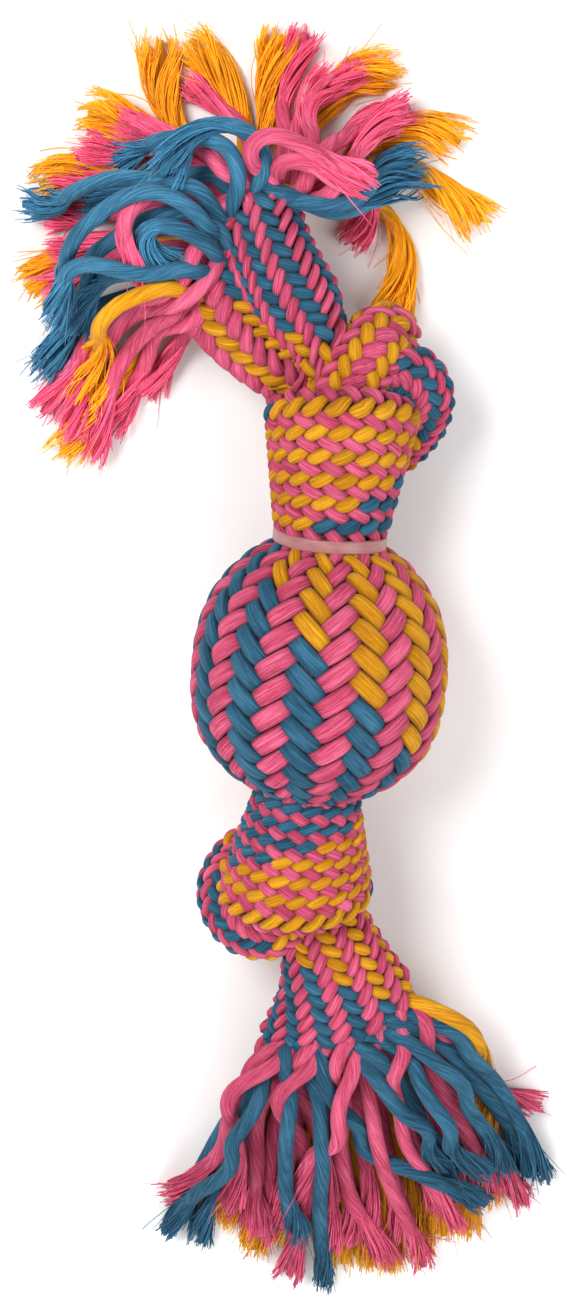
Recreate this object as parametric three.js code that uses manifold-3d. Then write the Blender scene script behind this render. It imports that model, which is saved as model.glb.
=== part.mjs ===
// Braided rope dog toy: a rubber ball worked into a round braid, an overhand
// knot tied against each side of the ball, and a frayed tassel at each end.
// Millimetres, +Z up. The toy lies on its side with its length along Y; the
// origin is the middle of the small flat on which the ball rests.
import * as THREE from 'three';
import { mergeVertices } from 'three/addons/utils/BufferGeometryUtils.js';
import Module from 'manifold-3d';

// ---- driving dimensions -------------------------------------------------
const BALL_R = 32.5;          // outside of the braided cover
const COVER_IN_R = 28.0;      // inside of the braided cover
const CORE_R = 27.2;          // rubber ball inside it
const BALL_Z = 32.0;          // height of the ball's centre, leaves a small flat at z = 0
const POLE_HOLE_R = 8.5;      // where the cover gathers into each neck
const STRAND_R = 1.6;         // compacted radius of one free strand end
const TIE_R = 1.0;            // bridge that binds the two strands of a pair
const GAP = 0.4;              // clearance between neighbouring rope sections

const BAND = { inR: 9.4, outR: 14.6, y0: 34.3, y1: 36.4 };

// Each knot: a collar (the turn round the knot), the rope inside it and the
// crown (the bight that leaves the collar and goes down behind it).
const UPPER = {
  side: 1, baseX: -0.1, tilt: -4.4,
  collar: { y0: 36.9, y1: 74.5, out0: 13.9, out1: 18.9, in0: 7.2, in1: 10.6 },
  stem: { y0: 29.8, y1: 69.0, r: 6.6, tipR: 4.6 },
  crown: {
    path: [[8.6, 70.0, 33], [10.4, 77.0, 33.5], [15.6, 82.0, 31.5], [22.4, 80.0, 28.4], [25.6, 72.5, 23.5], [25.2, 63.5, 19], [21.6, 55, 15.4], [15.5, 49.5, 15]],
    halfWidth: 7.2, halfThick: 5.6,
  },
  tail: {
    swing: [-10, 20], stub: [-1.5, 75.2, 32.5], stubAcross: [1, 0.08], stubHalf: 3.2, stubThick: 6.0,
    root: [-6.6, 84.6, 32.5], rootAcross: [0.80, 0.60], rootHalf: 9.4, rootThick: 5.8,
    endZ: 24.0, trough: 5.0, endThick: 7.6, inset: 2.3,
    fell: [[-28.2, 94.3], [-26.1, 100.4], [-24.9, 106.7], [-24.5, 113.1], [-22.6, 119.0], [-17.1, 122.1], [-10.7, 122.4], [-4.5, 120.9], [1.1, 117.8]],
  },
};
const LOWER = {
  side: -1, baseX: 0.0, tilt: -5.4,
  collar: { y0: 35.2, y1: 65.0, out0: 13.6, out1: 19.2, in0: 7.2, in1: 10.6 },
  stem: { y0: 29.8, y1: 59.6, r: 6.6, tipR: 4.6 },
  crown: {
    path: [[-9.4, -60.6, 32.5], [-11.4, -66.4, 32.5], [-16.2, -71.6, 30.5], [-22.2, -69.6, 27.5], [-24.4, -62.8, 23], [-23.8, -55, 19], [-20.4, -48, 15.6], [-15, -43.4, 15.6]],
    halfWidth: 6.6, halfThick: 5.4,
  },
  tail: {
    swing: [-8, 20], stub: [0.8, -65.8, 32], stubAcross: [1, 0.1], stubHalf: 3.2, stubThick: 6.0,
    root: [4.8, -75.4, 31.5], rootAcross: [0.94, 0.34], rootHalf: 9.4, rootThick: 5.8,
    endZ: 22.5, trough: -2.0, endThick: 7.6, inset: 2.3,
    fell: [[-12.7, -99.2], [-12.2, -106.2], [-7.5, -111.2], [-0.6, -111.5], [5.8, -108.5], [11.9, -105.1], [17.8, -101.3], [23.2, -96.8], [27.9, -91.5]],
  },
};

// ---- finishes -----------------------------------------------------------
const PINK = 0xe44b82, BLUE = 0x347096, YELLOW = 0xeeac26;
const cotton = (color) => new THREE.MeshStandardMaterial({ color, roughness: 0.9, metalness: 0 });
const RUBBER = new THREE.MeshStandardMaterial({ color: 0x4a4a4c, roughness: 0.6, metalness: 0 });
const CLEAR = new THREE.MeshStandardMaterial({ color: 0xd98a8e, roughness: 0.35, metalness: 0, transparent: true, opacity: 0.6 });

// ---- routes of the free strand ends -------------------------------------
// One entry per bound pair: the colour of the pair, then the points of its two
// strands from the braid's end to the tip, as x, y, z in turn.
const UPPER_STRANDS = [
  [BLUE, [-27.2,95.5,20.3,-32.1,96.8,15.3,-36.4,96.8,8.9,-41.8,95.6,3.7,-48.9,93.4,2,-56.2,91,2,-62.7,87.1,2,-67.7,81.2,2,-71.8,74.7,2],
    [-26.2,100.6,19.7,-29.6,96.9,23.8,-32.8,93.2,18.9,-35.4,90.4,12.3,-38.8,87,6.4,-43.4,82.5,2.4,-48.5,76.9,2,-53.4,71,2,-58,64.9,2,-62.2,58.6,2,-66.3,52.1,2]],
  [PINK, [-27.3,96.2,27.1,-30.1,91.5,24.5,-31.8,88.9,18.8,-33.5,86.1,13.2,-35.5,82.8,8,-37.7,78.5,3.7,-40.5,73,2,-43.8,67.4,2],
    [-27.4,95.1,30.5,-30.6,90.7,29.1,-34.3,88.8,23.9,-37.2,87.6,17.8,-40.7,86.1,12.2,-43.1,82,7.4,-44.7,76.1,4.5,-47.6,70.5,2.1,-51.3,64.9,2,-54.8,59,2]],
  [PINK, [-26.2,100.6,26.7,-32.3,99.9,24.6,-35.3,98,17.8,-38.7,95.4,11.8,-42.5,92.4,6.3,-47.6,88.8,2.4,-53.6,84.5,2,-58.9,79.4,2,-63.3,73.5,2,-66.5,66.8,1.9],
    [-26.1,100,30.8,-28.6,95.7,34.8,-33.9,91.5,30.9,-38.1,90.4,24.4,-41.8,88,18,-45.4,84.3,12.2,-49.1,79.6,7.2,-52.8,73,6.1,-54.8,65.6,5.7,-56.5,58,5.7,-58.2,51.5,2]],
  [YELLOW, [-25.1,104.5,18.2,-29.9,105.5,13.1,-34.4,106.3,7.1,-40.5,106.6,2.7,-47.9,105.8,2,-55.4,104.6,2,-62.9,103.5,2,-69.6,100.1,2,-75.6,95.5,2],
    [-25.2,104.6,22.3,-30.6,106.2,18.9,-34.4,106.7,13.1,-39.4,106.3,8.3,-45.8,105.7,6.2,-52.7,105,6.2,-59.1,102.5,5.9,-65,99.1,4.6,-70.8,95.3,4.9]],
  [YELLOW, [-24.6,108.8,17.4,-27.4,112.2,13,-29.8,115.4,7.6,-33.7,118.8,3.3,-39.6,121.5,2,-46,123.3,2,-52.5,125,2,-59.2,125.9,2,-65.8,125.1,2,-71.7,121.8,2],
    [-24.7,108.8,21.4,-28.6,111.6,19.1,-31.1,113,14.4,-34.3,113.7,10,-38.2,113,6.2,-43,111.6,3.9,-48.2,110.3,4.5,-52.8,109.1,7.3,-57.9,107.5,7.2,-62.9,105.9,5.6,-68.1,104.2,5.4]],
  [YELLOW, [-24.5,113.1,18.9,-26.4,117,14.3,-28,120.5,8.7,-30.2,125,4,-34.2,130,2,-40.1,133.5,2,-46.1,136.7,2,-52.4,139.4,2,-59.1,140.7,2],
    [-24.4,113.1,22.5,-27.5,117.5,22.4,-29.4,119.9,17.8,-32.1,121.6,13.2,-35.8,122.6,9.2,-40.5,123.4,6.5,-46.1,123.9,6.2,-51.6,124,6.2,-57.2,123.5,5.6,-62.5,122.4,4.6,-67.9,121.1,5.2]],
  [YELLOW, [-23.6,117.4,20.6,-25.2,120.6,17.3,-26.2,123.3,12.7,-27.6,126.6,8.5,-29.6,130.4,5.2,-33.5,134,4.1,-36.9,137.7,2.4,-39,142.7,2,-40.3,148,2,-40.6,153.4,2,-40.6,158.9,2],
    [-23.7,117.2,25.2,-25.9,121.4,22.6,-27,124.2,17.9,-29,126.7,13.3,-32.3,128.4,9.1,-36.8,129.7,6.1,-42.1,131.3,5.1,-47.2,132.6,3.3,-52.5,133.3,2,-58.2,133.5,2]],
  [YELLOW, [-21,120.4,16.6,-20.3,124.5,12.6,-19.5,128.1,7.7,-18.9,132.8,3.7,-19.4,138.6,2,-21.7,144.3,2,-24.7,149.7,2,-28.6,154.5,2,-32.9,158.9,2],
    [-21,120.4,20.5,-22.6,124.3,18.7,-24.1,127.4,15.7,-27.1,130.2,13.8,-30.1,132.1,10.8,-33.7,133.9,8.6,-37.8,135.3,7.1,-42,136.4,5.9,-46.5,137.5,6.2,-51,138.4,6.2]],
  [YELLOW, [-17.1,122.1,17,-15.8,126.2,12.6,-14.7,130,7.4,-13.6,134.9,3.4,-13,141.2,2,-12.6,147.7,2,-11.4,154.1,2,-9.7,160.4,2],
    [-17.1,122.1,20.8,-17,126.3,19.2,-16.9,128.9,15.6,-17,131.6,11.9,-17.9,134.7,8.7,-20,137.8,6.4,-23.2,140.8,5.2,-26.3,143.2,2.9,-30.1,145.5,2,-34,147.8,2]],
  [YELLOW, [-12.8,122.5,17.5,-10.3,126,13.1,-8,129.1,7.8,-5,133.1,3.5,-1.2,138.1,2,2.7,143.4,2,6.9,148.5,2,12.7,151.3,2,19.1,152.8,2],
    [-12.8,122.5,21.4,-10.8,126.9,19.3,-9.7,129.4,14.8,-8.7,132.4,10.5,-8.5,136.2,6.9,-9.4,140.9,4.6,-8.8,146.1,3.7,-7.4,150.8,2.1,-5.5,155.8,2,-3.3,160.7,2]],
  [YELLOW, [-8.6,122.1,18.4,-4.6,124,13.6,-0.9,125.8,8,3.9,128.1,3.5,10,130.7,2,16.4,133.3,2,23,135.7,2,29.8,135.8,2,36.1,133,2],
    [-8.6,122.1,22.1,-7.4,127.4,20.7,-6.6,131,16.4,-5.9,134.8,12.4,-5.1,138.8,8.4,-2.4,142.8,5.7,2.3,145.9,5.8,6.9,149.1,6.2,11.4,152.6,5.9]],
  [YELLOW, [-4.5,120.8,19.7,-0.5,122.2,15.1,3,123.5,9.5,7.5,125,4.7,13.4,126.6,2.1,20.1,127.9,2,26.2,125.4,2,31.2,120.9,2,36.4,116.5,2,41.5,112,2],
    [-4.5,120.9,23.6,-1.7,124,21.7,-0.1,125.8,17.7,1.5,127.5,13.7,3.1,129.5,9.8,4.9,132.1,6.3,7,135.1,3.5,10.3,138.1,2.1,14.4,140.3,2,18.9,140.3,2.6,22.7,138.8,4.9]],
  [YELLOW, [-0.7,118.8,21,3.1,119.7,16.7,6.4,120.2,11.3,10.3,119.6,6.5,14.8,117.2,2.9,19.2,112.8,2,21.4,106.9,2,21.4,100.6,2,20.3,94.4,2,18.7,88.2,2],
    [-0.7,118.8,24.7,-0.3,123.1,25.7,1.4,125.7,23.2,3.9,125.9,19.7,6.5,125.2,16.2,9.1,123.5,13.2,11.5,120.6,11.1,12.4,117,8.8,12.2,113.9,5.7,10.8,110.7,3.2,8.6,107.2,2]],
  [YELLOW, [-27.5,96.3,40.2,-29,99.2,48,-35,100.8,50.9,-41.6,98.2,47.7,-44.4,96.2,40.1,-47.7,93.6,32.7,-50.9,90.9,25.4,-53.9,87.7,18.2,-56.4,82.7,12,-58.3,75.2,8.8,-59.9,67.2,7.9],
    [-25.9,100.3,40.4,-30.1,103.2,43.9,-34.6,103.9,39.7,-38,103.3,33.9,-42.3,102.7,28.9,-48,102.2,25.6,-52.7,100.9,21.5,-55.6,98.8,15.8,-58.4,95.5,10.7,-60.3,90.2,7.3,-62.5,84,7.8]],
  [PINK, [-25.1,104.8,26,-26.3,102.8,34.3,-31.3,96.7,37.7,-37.1,94.3,31.4,-41.7,93,23.8,-45.7,91,16,-50.2,87.3,9.2,-55.1,80.8,5.9,-58.9,73,3.5,-62,64.9,4.7,-64.7,56.5,6.1],
    [-24.7,108.8,25.1,-26.5,107.1,34.8,-30.9,100.8,40,-37.1,97.7,35.9,-42.3,97,27.7,-46.6,95.5,19,-51.2,92.5,11,-56.6,86.8,5.3,-61.7,78.6,5.9,-66.7,70.2,6,-71.7,62.8,2.8]],
  [BLUE, [-25,104.7,41.1,-27.7,104,47.6,-34.8,102.1,47,-40.7,101.1,44.5,-44.8,101.1,38.4,-50.2,101.3,33.6,-56.6,101.5,30.3,-60.1,100.7,24,-63.3,98.9,17.8,-67,96.3,12.1,-71.6,92.5,8],
    [-24.7,108.7,37.6,-30.3,107.2,43.5,-35.9,107,41.2,-40.7,107.3,34.4,-47.1,105.6,29.4,-53.8,101.4,27.3,-57.1,97.7,20.6,-60.2,93.3,14.2,-64.2,87.2,10.7,-67.7,80.8,7.4,-70.5,73.2,5.8]],
  [PINK, [-24.7,113,26.6,-29.4,112.6,23.7,-33,112.7,19.1,-36.3,113.8,14.4,-40.4,115.2,10.5,-45.7,114,8.7,-49.8,110.4,10.3,-49.8,105.7,13.4,-48.9,101.9,17.8,-48.3,98.7,22.6,-47.8,95.4,27.3],
    [-23.9,116.8,29.3,-29,116.2,26,-33.5,116.2,21.5,-37.6,117,16.8,-43,117.1,13.4,-48.9,116,11.2,-53.1,115.4,6.6,-58.2,114.7,2.9,-64.4,114,2,-70.7,113.3,2]],
  [BLUE, [-24.5,113.1,30.2,-25.3,112.6,34.4,-26,112.1,38.7,-27.5,111.1,42.6,-29.5,110.1,46.4,-32.8,110.7,46.3,-35.5,112.2,43.2,-39,112.6,41,-41.6,109.3,40.3,-40.9,105.8,41.5,-37.6,104.6,43.8],
    [-23.8,117.2,33.9,-25.1,114.5,42.4,-28.7,113.1,48.8,-31.4,115.6,40.7,-34.7,117.4,32.5,-39,118.6,24.8,-44.9,118,18.1,-52.2,114.9,13.9,-58.6,110,10.7,-65,104.1,11.1,-69.8,98.5,16.3]],
  [BLUE, [-20.9,120.5,24.3,-24.4,123.6,25.8,-26.4,126.9,21.7,-26.9,131.2,18,-30.7,133.3,15.1,-35.6,132.8,12.1,-40.7,132.2,9.6,-46.2,131.4,8.4,-51.1,130.5,5.6,-56.5,129.7,4,-62.2,129.4,4.2],
    [-21,120.6,29.4,-26.6,120,30.8,-30.5,120.8,25.5,-34.8,123,21,-39.8,123,16.7,-45.7,121.9,14.2,-52.1,120.8,13.1,-58.2,120,11.2,-64.2,119.5,8.7,-70.3,118.6,7.6,-75.6,117.4,3.8]],
  [PINK, [-17.1,122.1,24.6,-17.8,127.2,22.9,-14.7,130.7,21,-9.4,131.2,21.9,-4.5,129.7,23.8,-0.2,128.1,26.9,4.2,126.5,26,7.5,126,21.5,10.8,126.3,17.1,14.3,127.3,13,18.5,129.1,10.1],
    [-12.8,122.5,25.1,-8.1,124.4,25.3,-3.6,125.2,27.3,0.5,124.4,30,5.1,123.5,28.8,8.4,123,25.1,11,122.6,20.8,13.5,122.4,16.4,16.4,122.2,12.2,19.8,121.9,8.6,24,121.3,5.8]],
  [BLUE, [-17.3,121.8,28.7,-18.8,125.6,31.4,-20.9,130,29.3,-22.9,132.6,25.1,-25.9,135,21.7,-30.6,134.6,19.7,-35,133.3,17.3,-39.4,131.8,14.9,-43.9,130.2,12.9,-48.5,128.7,11,-52.8,127.5,8.4],
    [-12.9,122.6,34.8,-13.4,127,32.2,-14.1,130.3,28.2,-15.6,134.1,24.9,-19.5,137.1,23.4,-24.4,138,24.7,-29.2,136.1,24.5,-32.6,132.3,23.3,-35.4,128,24.1,-37.4,124.1,27,-38.9,120.8,30.8]],
  [BLUE, [-8.4,122,28.4,-6.5,125.5,30.2,-4.2,129.1,29.4,-2.4,132.3,27.4,-1.7,134.2,23.5,-1.8,136.4,19.7,-2.5,138.8,16.2,-3.4,141.6,12.9,-2.3,144.8,10.3,0.4,147.9,9,3.7,150.7,8.9],
    [-8.8,122.1,32.8,-13.2,124.7,29.1,-18.8,126.6,26.6,-25.3,127.1,27.8,-30,126.8,24.1,-33.3,126.1,18.6,-37.4,125,13.8,-42.5,123.2,10.5,-48.5,121.2,9.3,-54.3,118.9,8.8,-59.7,116.5,6.4]],
  [BLUE, [-4.5,120.8,27.2,-3.9,123.4,31.9,-2.8,128.2,33.1,-0.1,132.3,31.3,2.2,133.8,26.7,4.5,134.8,22,7.1,135.7,17.4,10.3,136.5,13.1,13.9,138.1,9.5,18.2,140.4,7.5,23.1,142.6,7.5],
    [-4.5,120.9,34.4,-1.6,120.8,37.7,2.9,120.7,37.9,6.1,121,34.9,8.8,121.5,31.2,11.5,123,27.8,13.2,124.9,24.1,14.9,126.8,20.2,17.4,128.1,16.7,20.7,128.8,13.6,24.6,129.3,11.2]],
  [BLUE, [-0.7,118.8,28.5,1.1,121.3,32.2,3.9,124.5,33.7,6.1,127.2,30.4,7.7,129.2,26.3,9.4,131.3,22.3,11.3,133.8,18.6,13.8,136.6,15.5,16.9,139.1,12.7,21,141.4,11.7],
    [-0.6,118.6,34.7,3.1,118.4,34.2,5.6,118.5,30.5,8.4,118.7,27.2,11.6,119.4,24.3,14.7,120.8,21.6,17.2,122.2,18.4,19.7,123.3,14.9,22.6,124.4,11.9,26.2,125.7,9.7]],
];
const LOWER_STRANDS = [
  [BLUE, [-12.6,-101.5,15.8,-14.3,-107.7,8.8,-16.3,-115,2.7,-20.2,-123.9,2,-25.5,-132.3,2,-30.1,-141,2,-34.2,-149.9,2,-37.8,-159.1,2],
    [-12,-106.3,17.3,-13.1,-112.2,10.8,-14.2,-119,4.6,-16.5,-127.7,2,-19.7,-136.5,2,-22,-145.6,2,-23.7,-154.9,2,-24.8,-164.2,2]],
  [PINK, [-12.6,-101.5,19.6,-14.8,-107,20.3,-16.1,-111,16,-17.4,-114.5,11.2,-19,-119.1,7.4,-20.9,-124.7,6.2,-22.7,-130.5,6,-24.2,-136.3,4.8,-25.4,-142,2.9,-26.7,-148,2.6,-28,-153.9,1.9],
    [-12,-106.4,23.7,-12.6,-112.4,19.9,-13.1,-116.8,13.9,-14.2,-121.9,8.6,-16.4,-128.5,6.2,-18.2,-135.8,6.1,-19.2,-143.2,5.7,-20.1,-150.6,5.2,-20.9,-158,4.8]],
  [YELLOW, [-9.5,-109.9,18.1,-10,-116,10.9,-10.8,-123,3.9,-13,-132.3,2,-15.3,-142,2,-16.3,-151.9,2,-17.1,-161.8,2,-17.8,-171.7,2],
    [-9.4,-109.8,24.5,-9,-115.6,18.6,-9.2,-120.7,11.5,-10.8,-127.7,6.5,-12.5,-136.2,5.9,-13.1,-145,5.4,-13.8,-153.7,5.2,-14.4,-162.5,5.2]],
  [YELLOW, [-5.2,-111.7,16.9,-5.8,-117.6,10.5,-6.5,-124,4,-8,-132.7,2,-9.9,-141.8,2,-10.8,-151,2,-11.4,-160.2,2,-12,-169.4,2],
    [-5.2,-111.8,20.9,-4.2,-117.3,17.8,-4.3,-121.2,12.2,-4.9,-126,7.7,-5.9,-132.3,5.8,-7.4,-138.8,5.7,-9,-145.3,6.1,-9.7,-151.9,6.7,-10.1,-158.6,6.4]],
  [YELLOW, [-0.6,-111.2,17,-1.3,-117.2,10.8,-2.1,-123.3,4.3,-3.1,-131.9,2,-4.1,-141,2,-4.6,-150.1,2,-4.6,-159.2,2,-4.1,-168.3,2],
    [-0.6,-111.7,21.1,0.8,-118,16.2,1.3,-123.3,9.2,1.2,-130.9,5.1,1.4,-139.7,5.1,2.5,-148.4,5.4,3.5,-157.1,5.4,4.5,-165.8,5.5]],
  [YELLOW, [3.7,-109.5,17.2,3.8,-116.2,9.9,3.9,-123.9,3,4.1,-134.2,2,4.7,-144.6,2,5.8,-155,2,6.9,-165.4,2,7.9,-175.8,2],
    [3.8,-109.9,21.4,4.8,-116.4,16.4,5.5,-121.9,9.5,6,-129.7,5.7,6.8,-138.5,5.4,8.2,-147.2,4.7,9.1,-155.9,4.8,9.4,-164.7,5.3]],
  [YELLOW, [7.8,-107.2,17.2,8.3,-114.2,9.5,8.9,-122.4,2.7,9.9,-133.2,2,11.2,-144,2,12.6,-154.8,2,14,-165.6,2,15.5,-176.3,2],
    [7.8,-107.5,21.4,8.9,-113.9,16.6,9.8,-119.2,9.8,10.9,-126.7,6,11.9,-135.2,5.9,13.4,-143.7,5.6,14.8,-152.2,5.4,15.9,-160.7,5.4]],
  [YELLOW, [11.8,-104.8,17.1,12.9,-112.1,9,14.1,-121,2.3,15.4,-132.3,2,16.6,-143.6,2,18,-154.9,2,19.5,-166.2,2,21,-177.5,2],
    [11.9,-105.2,21.3,13.7,-111.8,16,15.2,-117.4,9.1,16.7,-125.5,5.8,18.2,-134.5,5.4,20.1,-143.4,5.5,22.1,-152.3,5.5,24.1,-161.2,5.6]],
  [YELLOW, [15.8,-102.4,16.9,16.9,-109.4,9.1,18.1,-117.8,2.5,19.8,-128.6,2,21.8,-139.4,2,24,-150.2,2,26.2,-160.9,2,28.3,-171.7,2],
    [15.9,-102.7,21.1,18.2,-108.9,16,20.1,-114.2,9.2,22.4,-121.7,5.7,24.6,-130.3,5.6,27.3,-138.7,5.8,30.4,-147,6.1,33.5,-155.2,6.2]],
  [YELLOW, [19.6,-99.7,16.5,21.2,-106.6,8.9,22.9,-114.9,2.4,25.5,-125.4,2,28.5,-135.9,2,31.3,-146.4,2,33.6,-157,2,35.4,-167.7,2],
    [19.8,-100,20.6,22.5,-106.1,15.8,24.8,-111.1,9.1,28,-118.3,5.7,31.5,-126.3,6,35.2,-134.2,6.2,38.6,-142.2,6.2,41.8,-150.3,5.6]],
  [YELLOW, [23.1,-96.6,16.1,25.4,-103.5,8.3,28.2,-112.1,2.2,31.8,-122.7,2,35.5,-133.2,2,38.3,-143.9,2,40.3,-154.9,2,41.6,-166,2],
    [23.2,-96.9,20.1,26.8,-102.8,15.1,29.9,-107.9,8.5,34,-115.2,6.1,38.3,-123.2,6.2,42.6,-131.1,6.2,46.5,-139.2,5.8,50,-147.3,4.4]],
  [YELLOW, [26.2,-93.2,15.6,28.9,-99.6,8.3,32.1,-107.4,2.3,36.3,-117.1,2,40.8,-126.6,2,44,-136.7,2,46.3,-146.9,2,48,-157.3,2],
    [26.4,-93.4,19.7,29.6,-98.4,15.7,32,-102.2,9.6,35.3,-107.3,5.1,39.5,-113.1,2.4,44.2,-119,2,48.4,-125.3,2,52.4,-131.8,2,56,-138.5,2]],
  [BLUE, [-12.7,-101.5,23.4,-15.4,-105.5,25.7,-17.4,-110,22.3,-18.8,-113.5,17.8,-19.8,-117.5,13.5,-20.5,-122.7,10.7,-19.9,-128.5,9.8,-20.2,-134.4,9.7,-21.6,-140.1,9,-22.5,-146,8.5,-23.1,-151.9,8.2],
    [-12.7,-101.4,28.6,-15.3,-107.5,31.5,-17.6,-114.4,28.8,-18.9,-119.4,23.2,-19.8,-124.3,17.3,-21.1,-130.8,13.7,-23.6,-138,12.7,-26.2,-144.7,10.2,-28.7,-150.8,6.3,-30.8,-157.6,3.8,-31.9,-164.8,2]],
  [BLUE, [-12.1,-106.2,34.5,-14.1,-112.8,32.7,-16.1,-119,29.7,-17.6,-123.4,24.2,-19.4,-128.5,19.4,-22.3,-134.7,17.6,-26.6,-140.2,15.7,-30.6,-144.2,11.3,-34.2,-149.5,8.1,-37.7,-155.3,6,-41.6,-161.2,4.6],
    [-9.5,-109.9,34.8,-12.3,-116.3,34.5,-14.5,-122.2,31.7,-15.3,-126.3,26.1,-15.7,-130.5,20.4,-15.9,-135.7,15.6,-16.5,-142.1,13,-17.4,-149.1,12.6,-18.5,-156,12.2,-19.6,-161.7,8.4,-20.7,-167.5,4.8]],
  [PINK, [-11.9,-106.5,28,-15.7,-110.8,26.2,-18.7,-114.8,22.9,-20.8,-118.2,18.1,-23.1,-122.3,14.1,-24.7,-127.3,10.8,-25,-133.3,9.5,-28,-138.1,7.1,-31.9,-142.8,6.2,-36.2,-147.1,5.1,-40,-151.1,2.2],
    [-9.5,-110,28.6,-12,-114.1,25.5,-13.7,-117,20.4,-15.2,-120.7,15.9,-16.2,-125.6,12.8,-16.5,-131.6,12.3,-16.1,-137,9.9,-16.2,-142.8,8.7,-17.1,-148.7,8.4,-16.5,-154.6,8.5,-15,-160.4,9.4]],
  [BLUE, [-5.2,-111.8,24.8,-7.9,-117.9,21.7,-10.6,-122,15.8,-11.4,-127.5,11.1,-6.4,-132.8,9.9,-1.9,-138.4,8.1,-1.5,-145.7,7.4,-3.2,-152.8,6,-5.4,-160.1,6.2,-6.6,-167.6,5.5,-7.4,-174.2,2.1],
    [-5.2,-111.8,28.5,-6.3,-117,27.2,-7,-121.1,23.6,-7.4,-124.5,19.2,-7.8,-128.6,15.5,-8.3,-133.7,13.5,-8.7,-138.8,11.4,-8.5,-144.3,12.1,-7.5,-149.7,12.6,-6.2,-154.7,10.6,-4.7,-160,10.3]],
  [BLUE, [-0.5,-111.2,24.8,3.4,-113.7,23.7,4.6,-117.1,21.9,3.7,-120,18.3,2.2,-123.2,15.1,0.5,-126.9,12.6,-1.1,-131.3,12,-2.5,-135.6,13,-3.8,-140,11.6,-4.8,-144.4,10.2,-5.8,-148.8,8.9],
    [-0.6,-111.7,29,0.6,-117.2,24.8,2.1,-123,20.6,5.6,-128.3,17.3,10.6,-132.2,13.7,16.7,-135.8,13.5,23.1,-138.4,15.4,29.4,-140.7,17.9,35.2,-144.2,15.9,39.7,-147.4,11.1,45.4,-151.4,9.7]],
  [BLUE, [3.9,-109.6,25.8,7.3,-115.3,26.6,7.7,-120.3,21.5,7,-124.5,15.7,6.3,-129.8,11.1,6.2,-136.8,9.7,7.3,-143.8,9.2,9.3,-150.6,8.8,12.8,-156.8,8.7,16.4,-162.8,8.9,19.7,-168.4,6.2],
    [3.7,-109.7,30.1,3.6,-116.5,28.2,3.1,-123.3,24.9,2.1,-129.4,20.5,1.4,-135,15.4,0.9,-141.8,12.1,0.6,-148.9,9.8,0.7,-156.4,8.6,1.1,-164,8.1,1.5,-170.4,4.8,1.9,-177.4,2]],
  [BLUE, [7.8,-107.4,25.1,14.8,-109.4,23.1,15.6,-114.6,17.8,14.6,-120,12.4,15.2,-126.9,9.6,16.8,-134.4,9.4,18.8,-141.9,9.6,21.7,-149,9.7,24.3,-156.2,9.6,26.6,-163.3,8.3,29,-170.1,6.1],
    [7.8,-107.4,28.9,12.3,-108.8,27.9,15,-112.4,26.8,17.3,-116.6,27.6,19.6,-120.2,26.6,21.5,-122.9,23.1,23.4,-125.6,19.6,25.7,-128.6,16.8,28.6,-131.9,14.8,31.2,-134.5,11.7,34.5,-137.5,9.9]],
  [PINK, [11.9,-105.1,26.1,17.4,-104.7,24.2,18.4,-111.1,24.7,19.3,-115.5,19.6,20.2,-119.6,14.3,21.6,-125,10.3,23.3,-131.4,9.5,25.7,-137.9,9.7,28.7,-144,10.1,31.9,-150,10.3,35.2,-156,10],
    [19.8,-100,24.6,24.4,-105.4,21,27.6,-109.2,14.7,31.5,-114.5,10.2,35.3,-121.5,9.9,40.9,-127.3,10.4,45.7,-133.7,10.1,49.9,-140.6,8.9,53.3,-147.6,6.9,56.1,-153.4,2.3]],
  [BLUE, [15.9,-102.7,35.7,20.5,-103.6,31.7,25.1,-105.1,27.5,27.7,-109.9,24.6,28.1,-113.4,19.3,28.6,-117.5,14.3,30,-122.6,10.8,32.3,-128.5,10.5,36.2,-132.3,13.8,40.8,-135.4,16.6,46.1,-138.8,15.6],
    [19.7,-99.9,35.5,25.2,-100.8,30.8,31.2,-102.1,26.6,35.7,-105.4,22,38.2,-109,15.9,41.4,-113.9,11.1,45.8,-119.8,9.9,49.5,-125.9,7.7,52.7,-132.5,6.2,55.4,-139.6,6,57.4,-145.7,2.2]],
  [BLUE, [16.2,-102.5,27.9,20.6,-107.2,27.7,21.4,-113.3,26.8,20.6,-118.1,22.7,21,-122.4,17.7,22.2,-127.8,14.2,25,-133.7,13.6,28.4,-139.4,13.7,31.6,-145.2,14,34.9,-151,13.9,38.3,-156.6,13.2],
    [11.8,-105,30.1,16.4,-100.7,31.7,21.6,-98.5,27.4,26.2,-102.4,24.2,30.6,-107.6,23,34,-112.2,19.1,37.6,-117,15.5,41.5,-122.1,12.9,45.2,-128,13.3,48.3,-134.2,13.6,50.5,-140.8,13.1]],
  [BLUE, [23.2,-96.8,24.1,28.8,-98.7,21.5,29.9,-103.3,18.9,30.3,-109.3,17.8,32.2,-114.5,14.5,35,-120.2,13.9,38.2,-125.7,14.4,40.9,-131.5,13.6,43.1,-137,11.2,45.3,-142.5,9,47.6,-148.4,7.8],
    [23.2,-96.8,33.9,29.4,-96.8,29.7,35.5,-99.3,26.3,39.5,-104.4,23.1,42.3,-108.1,17.1,45.9,-113.1,12.6,49.9,-119.5,12,53.1,-126,9.8,56.2,-132.8,9,59.1,-139.7,8.1,61.6,-145.6,3.9]],
  [YELLOW, [26.3,-93.2,23.4,30.2,-97.2,24.9,33.7,-100.8,22.3,35.8,-103,17.3,38,-105.6,12.6,40.2,-109,8.5,42.5,-113.7,6,45.9,-118.4,5.8,50,-122.4,5.1,54.5,-124.9,2.6,60.1,-126,2],
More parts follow.
